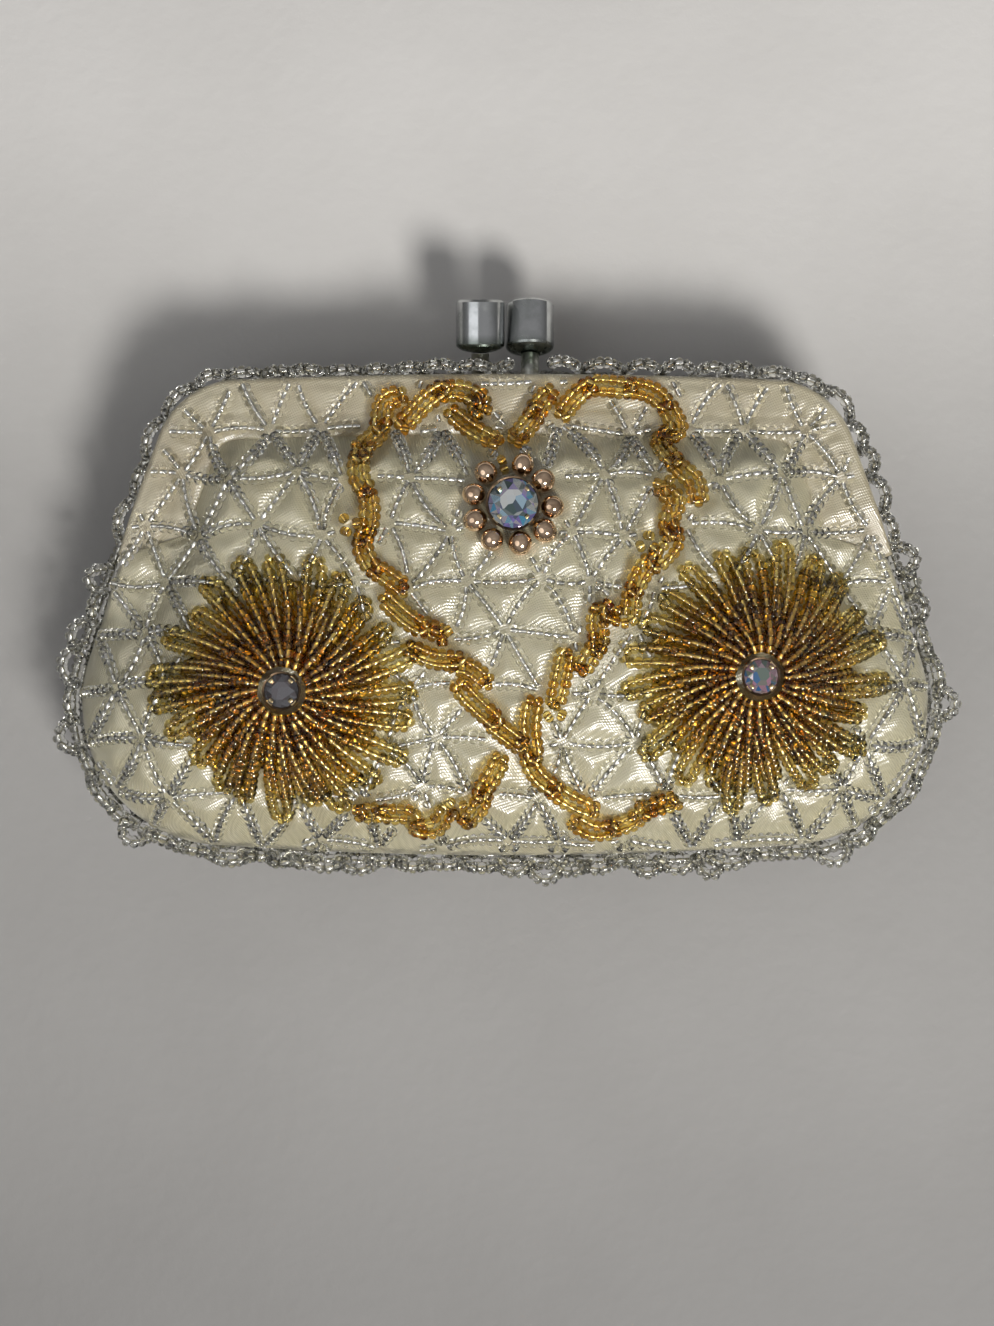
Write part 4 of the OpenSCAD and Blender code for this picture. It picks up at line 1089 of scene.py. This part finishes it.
# The near white stop is painted sparkle and the near black stop is painted shade.
rainbow_stone = stone_coat_and_painted_sparkle(
    "rainbow_stone", [(0.15, 0.55, 0.85), (0.95, 0.97, 0.95), (0.1, 0.16, 0.16),
                      (0.42, 0.34, 0.85), (0.9, 0.85, 0.7)])
smoke_stone = stone_coat_and_painted_sparkle(
    "smoke_stone", [(0.1, 0.09, 0.09), (0.3, 0.3, 0.32), (0.16, 0.12, 0.12)])
blue_stone = stone_coat_and_painted_sparkle(
    "blue_stone", [(0.1, 0.28, 0.6), (0.3, 0.36, 0.28), (0.75, 0.35, 0.5), (0.6, 0.62, 0.6)])


def seat_height(centre, r):
    return parting + 0.3 + max(float(h) for h in heights_round(front_height, *centre, r))


jewel_seat = seat_height(jewel, 3.9)
left_seat, right_seat = (seat_height(c, 7.8) + 3.5 for c in (left_flower, right_flower))
centre_cut = cut_stone("centre_stone_cut", jewel, jewel_seat + 2.62, jewel_d, rainbow_stone)
left_cut = cut_stone("left_stone_cut", left_flower, left_seat + 1.82, small_d, smoke_stone)
right_cut = cut_stone("right_stone_cut", right_flower, right_seat + 1.82, small_d, blue_stone)

# %% [markdown]
# The settings are stamped brass, darkened with age, and the cup is drawn near black as
# painted shade round the stone. A cup narrows to its foot, and four claws rise from it and
# are bent over the girdle of the stone. Each claw is a bevelled block whose upper loops
# are moved in along the curve.

# %% Claw settings
claw_brass = finish("claw_brass", (0.5, 0.4, 0.22), 0.3, Metallic=1.0)
# The cup's near-black colour is painted shade round the stone, on top of aged brass.
cup_brass_painted_shade = finish("cup_brass_painted_shade", (0.1, 0.07, 0.04), 0.5, Metallic=1.0)
aged(claw_brass, (0.62, 0.5, 0.28), (0.16, 0.11, 0.06), 0.9, 1100.0)
aged(cup_brass_painted_shade, (0.12, 0.08, 0.05), (0.04, 0.03, 0.02), 0.9, 1100.0)
claw_thick, claw_wide, claw_out, claw_over = 0.42, 1.05, 0.24, 0.9


def bent_claw(reach_out, height):
    """One claw, upright beside the cup, with its top bent in over the stone."""
    bm = bmesh.new()
    bmesh.ops.create_cube(bm, size=1)
    inward = 0.28 * reach_out
    tall = height + claw_over + inward
    bmesh.ops.scale(bm, verts=bm.verts, vec=(claw_thick, claw_wide, tall))
    bmesh.ops.translate(bm, verts=bm.verts, vec=(reach_out + claw_out, 0, tall / 2))
    upright = [e for e in bm.edges if abs(e.verts[0].co.z - e.verts[1].co.z) > tall / 2]
    bmesh.ops.subdivide_edges(bm, edges=upright, cuts=7, use_grid_fill=True)
    for vert in bm.verts:
        bend = float(ease((vert.co.z - height + 0.15) / 0.95))
        vert.co.x -= inward * bend
        vert.co.y *= 1 - 0.35 * bend
        vert.co.z -= 0.7 * bend ** 2
    long_edges = [e for e in bm.edges if e.calc_face_angle(0) > 0.9]
    bmesh.ops.bevel(bm, geom=long_edges, offset=0.09, segments=2, profile=0.5, affect="EDGES",
                    material=-1)
    return bm


def claw_setting(name, centre, z, diameter, height):
    r = diameter / 2
    bm = bmesh.new()
    spin_profile(bm, [(0.05, 0), (r * 0.62, 0), (r * 0.7, 0.1), (r * 0.98, height * 0.55),
                      (r + 0.34, height), (r + 0.3, height + 0.12), (r + 0.06, height),
                      (r * 0.9, height * 0.6), (r * 0.5, 0.3), (0.05, 0.3)], 32)
    claw = bpy.data.meshes.new("claw")
    for k in range(4):
        one = bent_claw(r, height)
        for face in one.faces:
            face.material_index = 1
        turn = Matrix.Rotation(math.pi / 4 + k * math.pi / 2, 3, "Z")
        bmesh.ops.rotate(one, verts=one.verts, matrix=turn)
        one.to_mesh(claw)
        one.free()
        bm.from_mesh(claw)
    bpy.data.meshes.remove(claw)
    bmesh.ops.recalc_face_normals(bm, faces=bm.faces)
    in_place(bm, centre, z)
    made = piece(name, to_mesh(bm, name), cup_brass_painted_shade, claw_brass)
    made.data.set_sharp_from_angle(angle=math.radians(40))
    return made


centre_setting = claw_setting("centre_setting", jewel, jewel_seat, jewel_d, 2.6)
left_setting = claw_setting("left_setting", left_flower, left_seat, small_d, 1.8)
right_setting = claw_setting("right_setting", right_flower, right_seat, small_d, 1.8)

# %% [markdown]
# Nine larger metal beads with a worn rose coating stand round the jewel. They are seen
# close, so their profile is a smooth arc, and the coating has rubbed off in patches.

# %% The ring of rose metal beads
rose_metal = finish("rose_metal", (0.9, 0.62, 0.42), 0.08, Metallic=1.0, Coat_Weight=0.3)
aged(rose_metal, (0.98, 0.72, 0.5), (0.35, 0.2, 0.11), 0.7, 520.0)
ring_places = np.array([[2.5, 16.9], [5.4, 14.6], [6.7, 10.8], [5.6, 7.4], [2.1, 5.6],
                        [-1.9, 6.1], [-4.3, 8.9], [-4.5, 12.6], [-2.8, 15.8]])
rose_d, rose_hole, widest_gap = 3.6, 0.8, 4.4


def round_bead(diameter, hole):
    r = diameter / 2
    low = math.asin(hole / diameter)
    turn = np.linspace(-math.pi / 2 + low, math.pi / 2 - low, 9)
    return bead_template([(r * math.cos(a), r * 0.92 * math.sin(a)) for a in turn], 20)


spokes = ring_places - jewel
ring_z = [seat_height(p, 0.8) - 0.3 + 1.45 for p in ring_places]
rose_ring = lay_beads("rose_ring", round_bead(rose_d, rose_hole), np.c_[ring_places, ring_z],
                      np.c_[-spokes[:, 1], spokes[:, 0], np.zeros(9)], [rose_metal],
                      sizes=rng.uniform(0.97, 1.03, 9))
links = [(p + q) / 2 for p, q in zip(ring_places, np.roll(ring_places, -1, axis=0))
         if np.hypot(*(q - p)) > widest_gap]
links = np.array(links + [np.array([-0.5, 17.6])])
link_z = [seat_height(p, 0.5) - 0.3 + 1.2 for p in links]
ring_links = lay_beads("ring_links", gold_seed, np.c_[links, link_z],
                       np.tile([0.8, 0.4, 0.0], (len(links), 1)), amber)

# %% [markdown]
# The knobs, their stems, the frame and its rivets come from the CAD model. They only need
# finishes: bright worn chrome on the knobs, with dark green grime where the fingers don't
# reach, and plain aged nickel on the rest.

# %% Finishes for the metal


def plated(name, bright, grime, roughness, size, amount, grime_from=None, grime_to=None):
    made = finish(name, bright, roughness, Metallic=1.0)
    tree, shader = made.node_tree, shader_of(made)
    tone = aged(made, bright, grime, amount, size)
    rough = add_range(tree, 0, 1, roughness, min(0.8, roughness + 0.4))
    link(tree, (tone, "Mask", rough, "Value"), (rough, 0, shader, "Roughness"))
    if grime_from:
        where = add_node(tree, "TexCoord")
        split = add_node(tree, "SeparateXYZ")
        lower = add_range(tree, grime_from * MM, grime_to * MM)
        dirty = add_node(tree, "Mix", data_type="RGBA")
        dirty.inputs[MIX_B].default_value = (*grime, 1)
        link(tree, (where, "Object", split, 0), (split, "Y", lower, "Value"),
             (lower, 0, dirty, "Factor"), (tone, "Colour", dirty, MIX_A),
             (dirty, MIX_OUT, shader, "Base Color"))
    return made


knob_chrome = plated("knob_chrome", (0.62, 0.63, 0.63), (0.12, 0.15, 0.12), 0.12, 240, 0.5,
                     37, 35.2)
stem_nickel = plated("stem_nickel", (0.5, 0.5, 0.46), (0.16, 0.18, 0.13), 0.3, 600, 0.9)
frame_nickel = plated("frame_nickel", (0.68, 0.67, 0.64), (0.36, 0.33, 0.28), 0.26, 200, 0.6)
finishes = {frame_nickel: ["back_frame", "front_frame", "hinge_rivets"],
            knob_chrome: ["back_knob", "front_knob"],
            stem_nickel: ["back_knob_stem", "front_knob_stem"]}
for metal, nodes in finishes.items():
    for node in nodes:
        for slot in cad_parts[node].material_slots:
            slot.material = metal

# %% [markdown]
# Every piece says which body it moves with. The cloth and the strings that cross the hinge
# line are listed for both bodies and are not attached to either. Each piece also names its
# slot and the CAD nodes that it stands for.

# %% What moves with what, and what stands for what
bends = "both bodies"
pieces = [
    (satin_front, bends, "body_satin", "front_panel front_fold front_yoke"),
    (satin_back, "pouch", "body_satin", "back_panel"),
    (lining_front, bends, "lining_cloth", "front_lining yoke_lining"),
    (lining_back, "pouch", "lining_cloth", "back_lining"),
    (cover_front, "front", "frame_satin", "front_frame_cover"),
    (cover_back, "pouch", "frame_satin", "back_frame_cover"),
    (net_lower, bends, "crystal_beads", "front_net_lower front_fold_net"),
    (net_upper, bends, "crystal_beads", "front_net_upper"),
    (net_back_lower, "pouch", "crystal_beads", "back_net_centre"),
    (net_back_upper, "pouch", "crystal_beads", "back_net_edge"),
    (rim_front, "front", "crystal_beads", "front_edge_beads"),
    (rim_back, "pouch", "crystal_beads", "back_edge_beads"),
    (rim_low_front, bends, "crystal_beads", ""),
    (rim_low_back, "pouch", "crystal_beads", ""),
    (seam_string, "pouch", "crystal_beads", "seam_beads"),
    (scroll, bends, "gold_beads", "front_fold_scroll front_scroll_lower front_scroll_upper"),
    (flower_left, bends, "gold_beads", "left_flower_loops"),
    (flower_right, bends, "gold_beads", "right_flower_loops"),
    (ring_links, "front", "gold_beads", ""),
    (centre_setting, "front", "claw_metal", "centre_cup"),
    (left_setting, "pouch", "claw_metal", "left_flower_cup"),
    (right_setting, "pouch", "claw_metal", "right_flower_cup"),
    (centre_cut, "front", "centre_stone", "centre_stone"),
    (left_cut, "pouch", "smoke_stone", "left_flower_stone"),
    (right_cut, "pouch", "blue_stone", "right_flower_stone"),
    (rose_ring, "front", "rose_metal", "centre_bead_ring")]
for made, body, slot, nodes in pieces:
    if body == bends:
        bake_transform(made)
    else:
        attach(made, body)
    if nodes:
        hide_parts(*nodes.split())
print("pieces:", len(pieces))

# %% The table top
bm = bmesh.new()
bmesh.ops.create_grid(bm, x_segments=1, y_segments=1, size=0.9)
table_paint = finish("table_paint", (0.56, 0.545, 0.52), 0.7)
tree = table_paint.node_tree
paper = aged(table_paint, (0.58, 0.565, 0.545), (0.5, 0.485, 0.465), 0.6, 14.0)
# The paper's colour is multiplied by a painted shadow: darker towards the bottom of the picture,
# lighter above the purse.
where = add_node(tree, "TexCoord")
split = add_node(tree, "SeparateXYZ")
painted_shadow_place = add_range(tree, -0.12, 0.12)
painted_shadow_ramp = add_node(tree, "ValToRGB")
painted_shadow_ramp.color_ramp.interpolation = "EASE"
for k, (place, tone) in enumerate([(0, 0.34), (0.25, 0.45), (0.46, 0.5), (0.83, 0.98)]):
    stop = painted_shadow_ramp.color_ramp.elements[k] if k < 2 else painted_shadow_ramp.color_ramp.elements.new(place)
    stop.position, stop.color = place, (tone, tone, tone, 1)
paper_under_painted_shadow = add_node(tree, "Mix", data_type="RGBA", blend_type="MULTIPLY", Factor=1)
grain = add_node(tree, "TexNoise", Scale=420.0, Detail=3.0)
bump = add_node(tree, "Bump", Strength=0.25, Distance=0.4 * MM)
link(tree, (where, "Object", split, 0), (where, "Object", grain, "Vector"),
     (split, "Y", painted_shadow_place, "Value"), (paper, "Colour", paper_under_painted_shadow, MIX_A), (painted_shadow_place, 0, painted_shadow_ramp, 0),
     (painted_shadow_ramp, 0, paper_under_painted_shadow, MIX_B), (paper_under_painted_shadow, MIX_OUT, shader_of(table_paint), "Base Color"),
     (grain, 0, bump, "Height"), (bump, 0, shader_of(table_paint), "Normal"))
table_top = piece("table_top", to_mesh(bm, "table_top"), table_paint)
